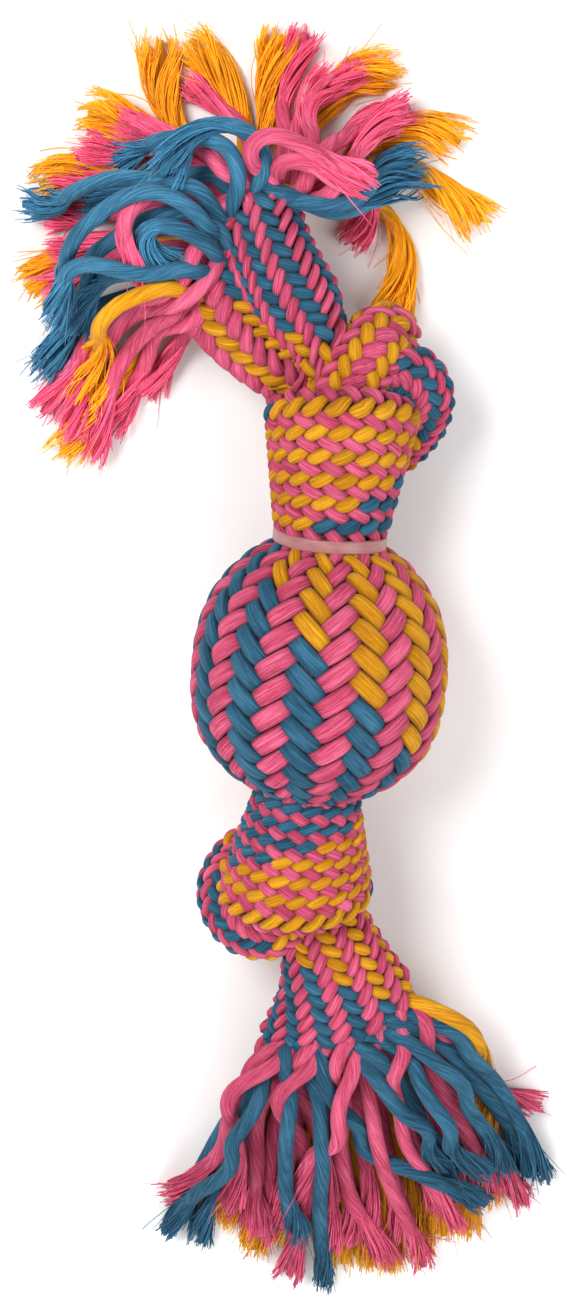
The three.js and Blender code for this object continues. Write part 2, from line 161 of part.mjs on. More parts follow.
    [26.3,-93.3,33.2,30.6,-92.3,29.6,34.7,-93,25.4,39.1,-96.2,23,42.4,-101,24.1,44,-105.9,23.1,45.2,-110.4,19.3,46.3,-115.4,16.2,47.5,-121.1,15.1,48.5,-126.9,15.8,49.6,-132.5,17.4]],
];

// ---- helpers ------------------------------------------------------------
const wasm = await Module();
wasm.setup();

// A closed geometry as a solid, with its faces turned outwards.
function solid(geometry) {
  geometry.deleteAttribute('normal');
  geometry.deleteAttribute('uv');
  const g = mergeVertices(geometry, 1e-4);
  const p = g.attributes.position, idx = Array.from(g.index.array);
  const tri = [];
  for (let i = 0; i < idx.length; i += 3) {
    const [a, b, c] = [idx[i], idx[i + 1], idx[i + 2]];
    if (a !== b && b !== c && c !== a) tri.push(a, b, c);
  }
  let vol = 0;
  const A = new THREE.Vector3(), B = new THREE.Vector3(), C = new THREE.Vector3();
  for (let i = 0; i < tri.length; i += 3) {
    A.fromBufferAttribute(p, tri[i]); B.fromBufferAttribute(p, tri[i + 1]); C.fromBufferAttribute(p, tri[i + 2]);
    vol += A.dot(B.clone().cross(C));
  }
  if (vol < 0) for (let i = 0; i < tri.length; i += 3) [tri[i + 1], tri[i + 2]] = [tri[i + 2], tri[i + 1]];
  return new wasm.Manifold(new wasm.Mesh({ numProp: 3, vertProperties: Float32Array.from(p.array), triVerts: Uint32Array.from(tri) }));
}

function geometryOf(manifold) {
  const m = manifold.getMesh();
  const g = new THREE.BufferGeometry();
  g.setAttribute('position', new THREE.BufferAttribute(Float32Array.from(m.vertProperties), 3));
  g.setIndex(Array.from(m.triVerts));
  g.computeVertexNormals();
  return g;
}

const roundShape = (sides, rx = 1, ry = 1) => new THREE.Shape(
  Array.from({ length: sides }, (_, i) => new THREE.Vector2(rx * Math.cos(2 * Math.PI * i / sides), ry * Math.sin(2 * Math.PI * i / sides))));

// A round bar of unit radius and unit length, every point of it placed by F.
function shaped(sides, steps, F) {
  const g = new THREE.ExtrudeGeometry(roundShape(sides), { depth: 1, steps, bevelEnabled: false });
  const p = g.attributes.position, v = new THREE.Vector3();
  for (let i = 0; i < p.count; i++) {
    F(v, p.getX(i), p.getY(i), p.getZ(i));
    p.setXYZ(i, v.x, v.y, v.z);
  }
  return g;
}

const tube = (points, radius, sides = 5) => new THREE.ExtrudeGeometry(roundShape(sides, radius, radius), {
  steps: Math.max(1, points.length - 1), bevelEnabled: false,
  extrudePath: points.length > 2 ? new THREE.CatmullRomCurve3(points, false, 'centripetal') : new THREE.LineCurve3(points[0], points[1]),
});

const lathe = (profile, segments) => new THREE.LatheGeometry(profile.map(([r, y]) => new THREE.Vector2(r, y)), segments);

const vec = (a) => new THREE.Vector3(a[0], a[1], a[2]);

const toy = new THREE.Group();
function add(parent, name, manifold, material) {
  const mesh = new THREE.Mesh(geometryOf(manifold), material);
  mesh.name = name;
  parent.add(mesh);
  return mesh;
}

// ---- ball ---------------------------------------------------------------
const ball = new THREE.Group();
ball.position.z = BALL_Z;
toy.add(ball);
add(ball, 'ball_core', solid(new THREE.SphereGeometry(CORE_R, 18, 12)), RUBBER);
{
  const a0 = Math.asin(POLE_HOLE_R / BALL_R), profile = [];
  for (let i = 0; i <= 14; i++) {
    const a = a0 + (Math.PI - 2 * a0) * i / 14;
    profile.push([BALL_R * Math.sin(a), BALL_R * Math.cos(a)]);
  }
  for (let i = 9; i >= 0; i--) {
    const a = a0 + (Math.PI - 2 * a0) * i / 9;
    profile.push([COVER_IN_R * Math.sin(a), COVER_IN_R * Math.cos(a)]);
  }
  profile.push(profile[0]);
  const floor = new THREE.BoxGeometry(40, 40, 10);
  floor.translate(0, 0, -BALL_Z - 5);
  add(ball, 'ball_cover', solid(lathe(profile, 28)).subtract(solid(floor)), cotton(PINK));
}

// ---- knots and tails ----------------------------------------------------
// The collar's outline, grown by e on every side.
function collarProfile(c, e) {
  const slope = (c.out1 - c.out0) / (c.y1 - c.y0);
  return [
    [c.in0 - e, c.y0 + 1.6], [c.in0 + 1.6 - e * 0.4, c.y0 - e], [c.out0 - 2.4 + e * 0.4, c.y0 - e], [c.out0 + 2.4 * slope + e, c.y0 + 2.4],
    [c.out1 - 3 * slope + e, c.y1 - 3], [c.out1 - 2.6 + e * 0.4, c.y1 + e], [c.in1 + 1.6 - e * 0.4, c.y1 + e], [c.in1 - e, c.y1 - 1.6],
    [c.in0 - e, c.y0 + 1.6],
  ];
}

// The crown: a flattened bar along its path, wide in the plane of the toy.
function crownGeometry(k, e) {
  const curve = new THREE.CatmullRomCurve3(k.path.map(vec), false, 'centripetal');
  const up = new THREE.Vector3(0, 0, 1), P = new THREE.Vector3(), T = new THREE.Vector3(), W = new THREE.Vector3(), N = new THREE.Vector3();
  return shaped(12, 12, (v, x, y, t) => {
    curve.getPointAt(t, P); curve.getTangentAt(t, T);
    W.crossVectors(up, T).normalize(); N.crossVectors(T, W);
    const end = 0.82 + 0.18 * Math.min(1, t / 0.15, (1 - t) / 0.15);
    v.copy(P).addScaledVector(W, x * (k.halfWidth * end + e)).addScaledVector(N, y * (k.halfThick * end + e));
  });
}

// The tail: a narrow stub over the collar's opening, then the root, then the
// part that opens towards the curved line where the braid ends.
function tailGeometry(t0) {
  const fell = new THREE.CatmullRomCurve3(t0.fell.map(([x, y]) => new THREE.Vector3(x, y, 0)), false, 'centripetal');
  const along = (p, a, h, x, v) => v.set(p[0], p[1], p[2]).addScaledVector(new THREE.Vector3(a[0], a[1], 0).normalize(), x * h);
  const S = new THREE.Vector3(), E = new THREE.Vector3(), R = new THREE.Vector3(), back = new THREE.Vector3();
  const split = 2 / 7;
  return shaped(18, 7, (v, x, y, t) => {
    along(t0.stub, t0.stubAcross, t0.stubHalf, x, S);
    along(t0.root, t0.rootAcross, t0.rootHalf, x, R);
    fell.getPointAt(THREE.MathUtils.clamp(0.5 + 0.485 * x, 0, 1), E);
    back.copy(R).sub(E).setZ(0).normalize();
    E.addScaledVector(back, t0.inset);
    E.z = t0.endZ + t0.trough * (x * x - 0.33);
    if (t < split) {
      const q = t / split;
      v.lerpVectors(S, R, q);
      v.z += y * THREE.MathUtils.lerp(t0.stubThick, t0.rootThick, q);
    } else {
      const q = (t - split) / (1 - split), s = q * q * (3 - 2 * q);
      v.lerpVectors(R, E, q);
      v.z = R.z + (E.z - R.z) * (0.5 * q + 0.5 * s) + y * THREE.MathUtils.lerp(t0.rootThick, t0.endThick, q);
    }
  });
}

function rope(prefix, k) {
  const knot = new THREE.Group();
  knot.position.set(k.baseX, 0, BALL_Z);
  knot.rotation.z = THREE.MathUtils.degToRad(k.tilt);
  toy.add(knot);
  const flip = ([r, y]) => [r, y * k.side];
  const place = new THREE.Matrix4().compose(knot.position, new THREE.Quaternion().setFromEuler(knot.rotation), new THREE.Vector3(1, 1, 1));
  const s = k.stem;
  add(knot, `${prefix}_neck`, solid(lathe([[0, s.y0], [s.tipR, s.y0], [s.tipR + 0.8, s.y0 + 3.4], [s.r, s.y0 + 6.4], [s.r, s.y1 - 1.5], [s.r - 1.5, s.y1], [0, s.y1]].map(flip), 18)), cotton(PINK));
  add(knot, `${prefix}_collar`, solid(lathe(collarProfile(k.collar, 0).map(flip), 24)), cotton(YELLOW));
  const collarAt = (turn) => {
    const g = lathe(collarProfile(k.collar, GAP).map(flip), 24);
    g.applyMatrix4(place);
    const [px, py] = k.tail.stub;
    g.translate(-px, -py, 0).rotateZ(THREE.MathUtils.degToRad(turn)).translate(px, py, 0);
    return solid(g);
  };
  const collar = collarAt(0);
  const stemGap = lathe([[0, s.y0], [s.r + GAP, s.y0], [s.r + GAP, s.y1 + GAP], [0, s.y1 + GAP]].map(flip), 18);
  stemGap.applyMatrix4(place);
  const crown = solid(crownGeometry(k.crown, 0)).subtract(collar).subtract(solid(stemGap));
  add(toy, `${prefix}_crown`, biggest(crown), cotton(BLUE));
  // The tail is cleared of the collar at every angle that it swings to.
  let tail = solid(tailGeometry(k.tail)).subtract(solid(crownGeometry(k.crown, GAP)));
  for (let a = k.tail.swing[0]; a <= k.tail.swing[1]; a += 2) tail = tail.subtract(collarAt(-a));
  add(toy, `${prefix}_tail`, biggest(tail), cotton(PINK));
}

// The largest piece, where a cut leaves slivers.
function biggest(manifold) {
  return manifold.decompose().sort((a, b) => b.volume() - a.volume())[0];
}

rope('upper', UPPER);
rope('lower', LOWER);
{
  const knot = new THREE.Group();
  knot.position.set(UPPER.baseX, 0, BALL_Z);
  knot.rotation.z = THREE.MathUtils.degToRad(UPPER.tilt);
  toy.add(knot);
  const { inR, outR, y0, y1 } = BAND, r = 0.5;
  add(knot, 'neck_band', solid(lathe([[inR, y0 + r], [inR + r, y0], [outR - r, y0], [outR, y0 + r], [outR, y1 - r], [outR - r, y1], [inR + r, y1], [inR, y1 - r], [inR, y0 + r]], 24)), CLEAR);
}

// ---- free strand ends ---------------------------------------------------
function strandPair(name, [colour, a, b]) {
  const points = (flat) => Array.from({ length: flat.length / 3 }, (_, i) => new THREE.Vector3(flat[3 * i], flat[3 * i + 1], flat[3 * i + 2]));
  const pa = points(a), pb = points(b);
  const near = (p) => p[0].clone().lerp(p[1], 0.6);
  const pair = solid(tube(pa, STRAND_R)).add(solid(tube(pb, STRAND_R))).add(solid(tube([near(pa), near(pb)], TIE_R, 4)));
  add(toy, name, pair, cotton(colour));
}
const two = (n) => String(n + 1).padStart(2, '0');
UPPER_STRANDS.forEach((p, i) => strandPair(`upper_strand_pair_${two(i)}`, p));
LOWER_STRANDS.forEach((p, i) => strandPair(`lower_strand_pair_${two(i)}`, p));

export default toy;
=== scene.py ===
import math

import bpy
import numpy as np
from mathutils import Matrix, Vector


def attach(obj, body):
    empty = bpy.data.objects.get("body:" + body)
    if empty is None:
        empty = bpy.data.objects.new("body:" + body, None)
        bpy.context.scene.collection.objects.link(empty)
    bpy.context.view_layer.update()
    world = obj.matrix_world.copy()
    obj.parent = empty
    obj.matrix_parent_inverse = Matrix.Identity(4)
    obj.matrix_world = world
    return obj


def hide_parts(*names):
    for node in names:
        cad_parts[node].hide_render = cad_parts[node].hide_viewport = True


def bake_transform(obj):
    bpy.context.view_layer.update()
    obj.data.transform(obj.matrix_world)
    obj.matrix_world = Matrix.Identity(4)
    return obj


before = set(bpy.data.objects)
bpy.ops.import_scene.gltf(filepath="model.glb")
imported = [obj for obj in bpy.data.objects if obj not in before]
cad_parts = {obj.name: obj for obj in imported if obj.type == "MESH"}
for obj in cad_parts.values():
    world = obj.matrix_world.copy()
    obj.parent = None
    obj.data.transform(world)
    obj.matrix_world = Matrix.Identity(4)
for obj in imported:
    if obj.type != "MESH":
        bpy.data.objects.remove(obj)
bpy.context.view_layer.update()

# A braided rope toy lying on a floor: a woven cover over a ball, a rolled knot on each side of it
# and a loose tassel at each end. Lengths below are millimetres; meshes are made in metres.

MM = 0.001
KEY_W, FILL_W, FOOT_W, WORLD = 18.0, 8.0, 5.0, 0.44
RNG = np.random.default_rng(20417)
scene = bpy.context.scene

# ------------------------------------------------------------------ camera, floor and light

FRAME_W, FRAME_H = 577, 1300
MM_PER_PX = 0.2559
BALL_PX = (319.0, 674.0)
TILT = math.radians(12.0)
DISTANCE = 1000.0
BALL_Z = 32.0

right = Vector((1, 0, 0))
up = Vector((0, math.cos(TILT), -math.sin(TILT)))
back = Vector((0, math.sin(TILT), math.cos(TILT)))
target = (Vector((0, 0, BALL_Z)) + right * ((FRAME_W / 2 - BALL_PX[0]) * MM_PER_PX)
          + up * ((BALL_PX[1] - FRAME_H / 2) * MM_PER_PX))
cam_data = bpy.data.cameras.new("camera")
cam_data.sensor_width = 36.0
cam_data.sensor_fit = "AUTO"
cam_data.lens = 18.0 / math.tan(math.atan(FRAME_H / 2 * MM_PER_PX / DISTANCE))
cam_data.clip_start, cam_data.clip_end = 0.05, 20.0
camera = bpy.data.objects.new("camera", cam_data)
spot = (target + back * DISTANCE) * MM
camera.matrix_world = Matrix((
    (right.x, up.x, back.x, spot.x), (right.y, up.y, back.y, spot.y), (right.z, up.z, back.z, spot.z), (0, 0, 0, 1)))
scene.collection.objects.link(camera)
scene.camera = camera
scene.view_settings.view_transform = "Standard"
scene.view_settings.look = "None"


def area_light(name, place, aim, size, power, colour=(1, 1, 1)):
    data = bpy.data.lights.new(name, "AREA")
    data.shape, data.size, data.energy, data.color = "DISK", size, power, colour
    lamp = bpy.data.objects.new(name, data)
    lamp.location = place
    lamp.rotation_euler = (Vector(aim) - Vector(place)).to_track_quat("-Z", "Y").to_euler()
    scene.collection.objects.link(lamp)


area_light("key", (-0.62, 0.55, 1.15), (0, 0, 0.03), 0.75, KEY_W, (1.0, 0.985, 0.965))
area_light("fill", (0.85, -0.25, 0.95), (0, 0, 0.03), 0.9, FILL_W, (0.97, 0.985, 1.0))
area_light("foot", (-0.1, -0.95, 0.7), (0, -0.05, 0.03), 0.8, FOOT_W)
world = bpy.data.worlds.new("studio")
world.use_nodes = True
world.node_tree.nodes["Background"].inputs["Color"].default_value = (1, 1, 1, 1)
world.node_tree.nodes["Background"].inputs["Strength"].default_value = WORLD
scene.world = world

# ------------------------------------------------------------------ materials


def node(tree, kind, **values):
    made = tree.nodes.new(kind)
    for key, value in values.items():
        setattr(made, key, value)
    return made


def principled(name):
    mat = bpy.data.materials.new(name)
    mat.use_nodes = True
    return mat, mat.node_tree, mat.node_tree.nodes["Principled BSDF"]


def fibre_noise(tree, source, stretch, scale, detail, rough):
    mul = node(tree, "ShaderNodeVectorMath", operation="MULTIPLY")
    tree.links.new(source, mul.inputs[0])
    mul.inputs[1].default_value = stretch
    tex = node(tree, "ShaderNodeTexNoise")
    tex.inputs["Scale"].default_value = scale
    tex.inputs["Detail"].default_value = detail
    tex.inputs["Roughness"].default_value = rough
    tree.links.new(mul.outputs[0], tex.inputs["Vector"])
    return tex.outputs["Fac"]


def blend_values(tree, a, b, share):
    mix = node(tree, "ShaderNodeMix", data_type="FLOAT")
    mix.inputs[0].default_value = share
    tree.links.new(a, mix.inputs[2])
    tree.links.new(b, mix.inputs[3])
    return mix.outputs[0]


def cotton(name, deep, body, pale, sheen):
    """Dyed cotton yarn: fibres run along each strand, with streaks of dye, a soft nap and a slight sheen."""
    mat, tree, bsdf = principled(name)
    fib = node(tree, "ShaderNodeAttribute", attribute_name="fib", attribute_type="GEOMETRY")
    tone = node(tree, "ShaderNodeAttribute", attribute_name="tone", attribute_type="GEOMETRY")
    fine = fibre_noise(tree, fib.outputs["Vector"], (1, 1, 0.05), 3.6, 3.0, 0.70)
    ply = fibre_noise(tree, fib.outputs["Vector"], (1, 1, 0.04), 1.9, 2.0, 0.55)
    patch = fibre_noise(tree, fib.outputs["Vector"], (0.22, 0.22, 0.07), 1.0, 2.0, 0.5)
    streak = blend_values(tree, fine, ply, 0.40)
    dye = blend_values(tree, streak, patch, 0.25)
    ramp = node(tree, "ShaderNodeValToRGB")
    ramp.color_ramp.interpolation = "B_SPLINE"
    stops = ramp.color_ramp.elements
    stops[0].position, stops[0].color = 0.33, (*deep, 1)
    stops[1].position, stops[1].color = 0.68, (*pale, 1)
    mid = stops.new(0.50)
    mid.color = (*body, 1)
    tree.links.new(dye, ramp.inputs["Fac"])
    # the per-point attribute multiplies in each strand's random dye level together with painted shade (darker where
    # strands dive under and at their edges) and painted light (brighter upper strands and frayed ends)
    shade = node(tree, "ShaderNodeMix", data_type="RGBA", blend_type="MULTIPLY")
    shade.inputs[0].default_value = 1.0
    tree.links.new(ramp.outputs["Color"], shade.inputs[6])
    tree.links.new(tone.outputs["Color"], shade.inputs[7])
    tree.links.new(shade.outputs[2], bsdf.inputs["Base Color"])
    bump = node(tree, "ShaderNodeBump")
    bump.inputs["Strength"].default_value = 0.85
    bump.inputs["Distance"].default_value = 0.00045
    tree.links.new(streak, bump.inputs["Height"])
    tree.links.new(bump.outputs["Normal"], bsdf.inputs["Normal"])
    rough = node(tree, "ShaderNodeMapRange")
    rough.inputs["To Min"].default_value = 0.72
    rough.inputs["To Max"].default_value = 0.95
    tree.links.new(streak, rough.inputs["Value"])
    tree.links.new(rough.outputs["Result"], bsdf.inputs["Roughness"])
    bsdf.inputs["Specular IOR Level"].default_value = 0.16
    bsdf.inputs["Sheen Weight"].default_value = 0.08
    bsdf.inputs["Sheen Roughness"].default_value = 0.42
    bsdf.inputs["Sheen Tint"].default_value = (*sheen, 1)
    return mat


COTTON = {
    "p": cotton("pink_cotton_yarn", (0.190, 0.009, 0.028), (0.490, 0.050, 0.118), (0.860, 0.200, 0.335), (1.0, 0.62, 0.78)),
    "b": cotton("blue_cotton_yarn", (0.0040, 0.020, 0.042), (0.015, 0.074, 0.134), (0.066, 0.218, 0.345), (0.55, 0.80, 1.0)),
    "y": cotton("yellow_cotton_yarn", (0.270, 0.072, 0.001), (0.530, 0.215, 0.002), (0.830, 0.450, 0.030), (1.0, 0.88, 0.60)),
}
WORD = {"p": "pink", "b": "blue", "y": "yellow"}


def rubber():
    mat, tree, bsdf = principled("dark_rubber")
    place = node(tree, "ShaderNodeTexCoord")
    tex = node(tree, "ShaderNodeTexNoise")
    tex.inputs["Scale"].default_value = 900.0
    tex.inputs["Detail"].default_value = 3.0
    tree.links.new(place.outputs["Object"], tex.inputs["Vector"])
    ramp = node(tree, "ShaderNodeValToRGB")
    ramp.color_ramp.elements[0].color = (0.010, 0.010, 0.011, 1)
    ramp.color_ramp.elements[1].color = (0.035, 0.033, 0.032, 1)
    tree.links.new(tex.outputs["Fac"], ramp.inputs["Fac"])
    tree.links.new(ramp.outputs["Color"], bsdf.inputs["Base Color"])
    bump = node(tree, "ShaderNodeBump")
    bump.inputs["Strength"].default_value = 0.3
    bump.inputs["Distance"].default_value = 0.0003
    tree.links.new(tex.outputs["Fac"], bump.inputs["Height"])
    tree.links.new(bump.outputs["Normal"], bsdf.inputs["Normal"])
    bsdf.inputs["Roughness"].default_value = 0.62
    return mat


def clear_band():
    """Soft clear plastic with a faint blush, scuffed so that it reads frosted."""
    mat, tree, bsdf = principled("frosted_clear_band")
    place = node(tree, "ShaderNodeTexCoord")
    stretch = node(tree, "ShaderNodeMapping")
    stretch.inputs["Scale"].default_value = (220, 1500, 220)
    tree.links.new(place.outputs["Object"], stretch.inputs["Vector"])
    tex = node(tree, "ShaderNodeTexNoise")
    tex.inputs["Scale"].default_value = 1.0
    tex.inputs["Detail"].default_value = 3.0
    tree.links.new(stretch.outputs["Vector"], tex.inputs["Vector"])
    ramp = node(tree, "ShaderNodeValToRGB")
    ramp.color_ramp.elements[0].position, ramp.color_ramp.elements[0].color = 0.3, (0.60, 0.25, 0.26, 1)
    ramp.color_ramp.elements[1].position, ramp.color_ramp.elements[1].color = 0.7, (0.76, 0.40, 0.39, 1)
    tree.links.new(tex.outputs["Fac"], ramp.inputs["Fac"])
    tree.links.new(ramp.outputs["Color"], bsdf.inputs["Base Color"])
    rough = node(tree, "ShaderNodeMapRange")
    rough.inputs["To Min"].default_value = 0.24
    rough.inputs["To Max"].default_value = 0.46
    tree.links.new(tex.outputs["Fac"], rough.inputs["Value"])
    tree.links.new(rough.outputs["Result"], bsdf.inputs["Roughness"])
    bump = node(tree, "ShaderNodeBump")
    bump.inputs["Strength"].default_value = 0.25
    bump.inputs["Distance"].default_value = 0.0001
    tree.links.new(tex.outputs["Fac"], bump.inputs["Height"])
    tree.links.new(bump.outputs["Normal"], bsdf.inputs["Normal"])
    bsdf.inputs["Transmission Weight"].default_value = 0.55
    bsdf.inputs["IOR"].default_value = 1.42
    return mat


def floor_paint():
    mat, tree, bsdf = principled("pale_floor")
    place = node(tree, "ShaderNodeTexCoord")
    tex = node(tree, "ShaderNodeTexNoise")
    tex.inputs["Scale"].default_value = 14.0
    tree.links.new(place.outputs["Object"], tex.inputs["Vector"])
    ramp = node(tree, "ShaderNodeValToRGB")
    ramp.color_ramp.elements[0].color = (0.90, 0.90, 0.90, 1)
    ramp.color_ramp.elements[1].color = (0.93, 0.93, 0.93, 1)
    tree.links.new(tex.outputs["Fac"], ramp.inputs["Fac"])
    tree.links.new(ramp.outputs["Color"], bsdf.inputs["Base Color"])
    bsdf.inputs["Roughness"].default_value = 0.9
    bsdf.inputs["Specular IOR Level"].default_value = 0.1
    return mat


floor_mesh = bpy.data.meshes.new("floor")
floor_mesh.from_pydata([(-4, -4, 0), (4, -4, 0), (4, 4, 0), (-4, 4, 0)], [], [(0, 1, 2, 3)])
floor = bpy.data.objects.new("floor", floor_mesh)
floor_mesh.materials.append(floor_paint())
scene.collection.objects.link(floor)

# ------------------------------------------------------------------ yarn meshes


def unit(v):
    return v / np.maximum(np.linalg.norm(v, axis=-1, keepdims=True), 1e-9)


def along(P):
    """Arc length from the first point, for an array of polylines."""
    step = np.linalg.norm(np.diff(P, axis=-2), axis=-1)
    return np.concatenate([np.zeros(step.shape[:-1] + (1,)), np.cumsum(step, axis=-1)], axis=-1)


def resample(P, step, extra=()):
    """A polyline at even steps of arc length, with any other per-point columns carried along."""
    s = along(P)
    t = np.linspace(0, s[-1], max(4, int(round(s[-1] / step)) + 1))
    pick = lambda a: np.stack([np.interp(t, s, a[:, k]) for k in range(a.shape[1])], 1)
    return [pick(P)] + [pick(e) if e.ndim == 2 else np.interp(t, s, e) for e in extra]


class Yarns:
    """Closed tubes of one colour that become one mesh."""

    def __init__(self):
        self.v, self.q, self.t, self.fib, self.tone, self.count = [], [], [], [], [], 0

    def add(self, P, normal, hw, ht, ring=14, power=1.0, ridge=0.0, lobes=0, lobe=0.0, twist=0.0, tone=1.0, edge=0.0):
        P, normal = np.asarray(P, float), np.asarray(normal, float)
        if P.ndim == 2:
            P, normal, hw, ht = P[None], normal[None], np.asarray(hw)[None], np.asarray(ht)[None]
        m, n = P.shape[:2]
        T = unit(np.gradient(P, axis=1))
        N = unit(normal - (normal * T).sum(-1, keepdims=True) * T)
        B = np.cross(T, N)
        s = along(P)
        k = np.arange(ring)
        phi = 2 * np.pi * k / ring
        c, d = np.cos(phi), np.sin(phi)
        cx, cy = np.sign(c) * np.abs(c) ** power, np.sign(d) * np.abs(d) ** power
        turn = phi - twist * s[..., None]
        mod = 1 + ridge * np.where(k % 2 == 0, 1.0, -1.0) + (lobe * np.cos(lobes * turn) if lobes else 0.0 * turn)
        V = (P[:, :, None] + B[:, :, None] * (hw[..., None] * cx * mod)[..., None]
             + N[:, :, None] * (ht[..., None] * cy * mod)[..., None])
        size = n * ring + 2
        verts = np.empty((m, size, 3))
        verts[:, :n * ring] = V.reshape(m, -1, 3)
        verts[:, -2], verts[:, -1] = P[:, 0], P[:, -1]
        shift = RNG.uniform(0, 400, m)
        fib = np.empty((m, size, 3))
        lx, ly = hw[..., None] * cx, ht[..., None] * cy
        ct, st = np.cos(twist * s)[..., None], np.sin(twist * s)[..., None]
        fib[:, :n * ring, 0] = (lx * ct + ly * st).reshape(m, -1)
        fib[:, :n * ring, 1] = (ly * ct - lx * st).reshape(m, -1)
        fib[:, :n * ring, 2] = np.broadcast_to((s + shift[:, None])[..., None], turn.shape).reshape(m, -1)
        fib[:, -2] = np.stack([0 * shift, 0 * shift, shift], 1)
        fib[:, -1] = np.stack([0 * shift, 0 * shift, shift + s[:, -1]], 1)
        # per-point colour factor: a random dye level times painted shade and painted light
        shade = np.ones((m, size))
        tone = np.asarray(tone, float)
        if tone.ndim == 2:
            shade[:, :n * ring] = np.repeat(tone, ring, axis=1)
            shade[:, -2], shade[:, -1] = tone[:, 0], tone[:, -1]
        else:
            shade *= tone.reshape(-1, 1) if tone.ndim else tone
        # painted shade: each strand's colour darkens towards its two side edges, where it meets its neighbours
        shade[:, :n * ring] *= np.tile(1 - edge * np.abs(c) ** 4, n)
        i = np.arange(n - 1)[:, None] * ring
        a, b = i + k, i + (k + 1) % ring
        quads = np.stack([a, a + ring, b + ring, b], -1).reshape(-1, 4)
        e = (n - 1) * ring
        tris = np.concatenate([
            np.stack([np.full(ring, n * ring), k, (k + 1) % ring], 1),
            np.stack([np.full(ring, n * ring + 1), e + (k + 1) % ring, e + k], 1)])
        base = self.count + np.arange(m)[:, None, None] * size
        self.q.append((base + quads[None]).reshape(-1, 4))
        self.t.append((base + tris[None]).reshape(-1, 3))
        self.v.append(verts.reshape(-1, 3))
        self.fib.append(fib.reshape(-1, 3))
        self.tone.append(shade.reshape(-1))
        self.count += m * size

    def build(self, name, material, lowest=None):
        v = np.concatenate(self.v)
        if lowest is not None:
            v[:, 2] = np.maximum(v[:, 2], lowest)
        q, t = np.concatenate(self.q), np.concatenate(self.t)
        me = bpy.data.meshes.new(name)
        me.vertices.add(len(v))
        me.vertices.foreach_set("co", (v * MM).astype(np.float32).ravel())
        me.loops.add(q.size + t.size)
        me.loops.foreach_set("vertex_index", np.concatenate([q.ravel(), t.ravel()]).astype(np.int32))
        me.polygons.add(len(q) + len(t))
        starts = np.concatenate([np.arange(len(q)) * 4, q.size + np.arange(len(t)) * 3])
        me.polygons.foreach_set("loop_start", starts.astype(np.int32))
        me.update(calc_edges=True)
        me.shade_smooth()
        me.attributes.new("fib", "FLOAT_VECTOR", "POINT").data.foreach_set(
            "vector", np.concatenate(self.fib).astype(np.float32).ravel())
        me.attributes.new("tone", "FLOAT", "POINT").data.foreach_set(
            "value", np.concatenate(self.tone).astype(np.float32))
        me.materials.append(material)
        obj = bpy.data.objects.new(name, me)
        scene.collection.objects.link(obj)
        return obj


def yarn_piece(yarns, name, colour, lowest=None):
    obj = yarns.build(name, COTTON[colour], lowest)
    return obj


# ------------------------------------------------------------------ the braid on a surface
# A tubular braid has 24 columns round it. u counts columns and N counts picks along the column.
# Pink strands climb one way and coloured strands the other; each passes over one column and under the next.


def weave(S, pink, index, n0, n1, area, thin, thick, fill=(1.0, 1.0), lean=(0.0, 0.0), dive=(0.1, 0.1), bias=0.0, sharp=2.6, dome=0.0, step=0.8):
    """Centreline, normal, half width, half thickness and shade of one strand between picks n0 and n1.
    Pairs are for the pink and the coloured strands. The shade is painted shade: a colour factor that darkens the
    strand where it dives under another."""
    fill, lean, dive = (p[0 if pink else 1] for p in (fill, lean, dive))
    N = np.linspace(n0, n1, max(8, int((n1 - n0) * 30)))
    v = index + 0.5 + N if pink else index - N
    c = 0.0 if pink else 1.0
    lean = lean(v) if callable(lean) else lean + 0 * v
    u = v + lean / np.pi * np.sin(np.pi * (v - c))
    over = np.cos(np.pi * (u - c))
    e = 0.03
    dU = (S(u + e, N) - S(u - e, N)) / (2 * e)
    dN = (S(u, N + e) - S(u, N - e)) / (2 * e)
    normal = unit(np.cross(dU, dN))
    way = unit(dN + ((1 + lean) * (1 if pink else -1))[:, None] * dU)
    gap = np.linalg.norm(dN - (dN * way).sum(-1, keepdims=True) * way, axis=-1)
    wide = gap * (fill(u) if callable(fill) else fill)
    high = np.clip(area / (0.9 * gap), thin, thick)
    ao = np.abs(over)
    rise = np.tanh(sharp * over) / np.tanh(sharp) + dome * over * ao + (-bias if pink else bias)
    P = S(u, N) + normal * (rise * high * 0.5)[:, None]
    hw = 0.5 * wide * (1 - dive + dive * ao ** 0.7)
    ht = 0.5 * high * (0.92 + 0.12 * ao)
    # painted shade: the colour darkens towards each end of a float, where the strand dives under its neighbour
    shade = 0.58 + 0.44 * np.clip((over + 0.15) / 0.85, 0, 1) ** 0.75
    return resample(P, step, (normal, hw, ht, shade))


def strand_tone():
    return 1.0 + RNG.normal(0, 0.05)

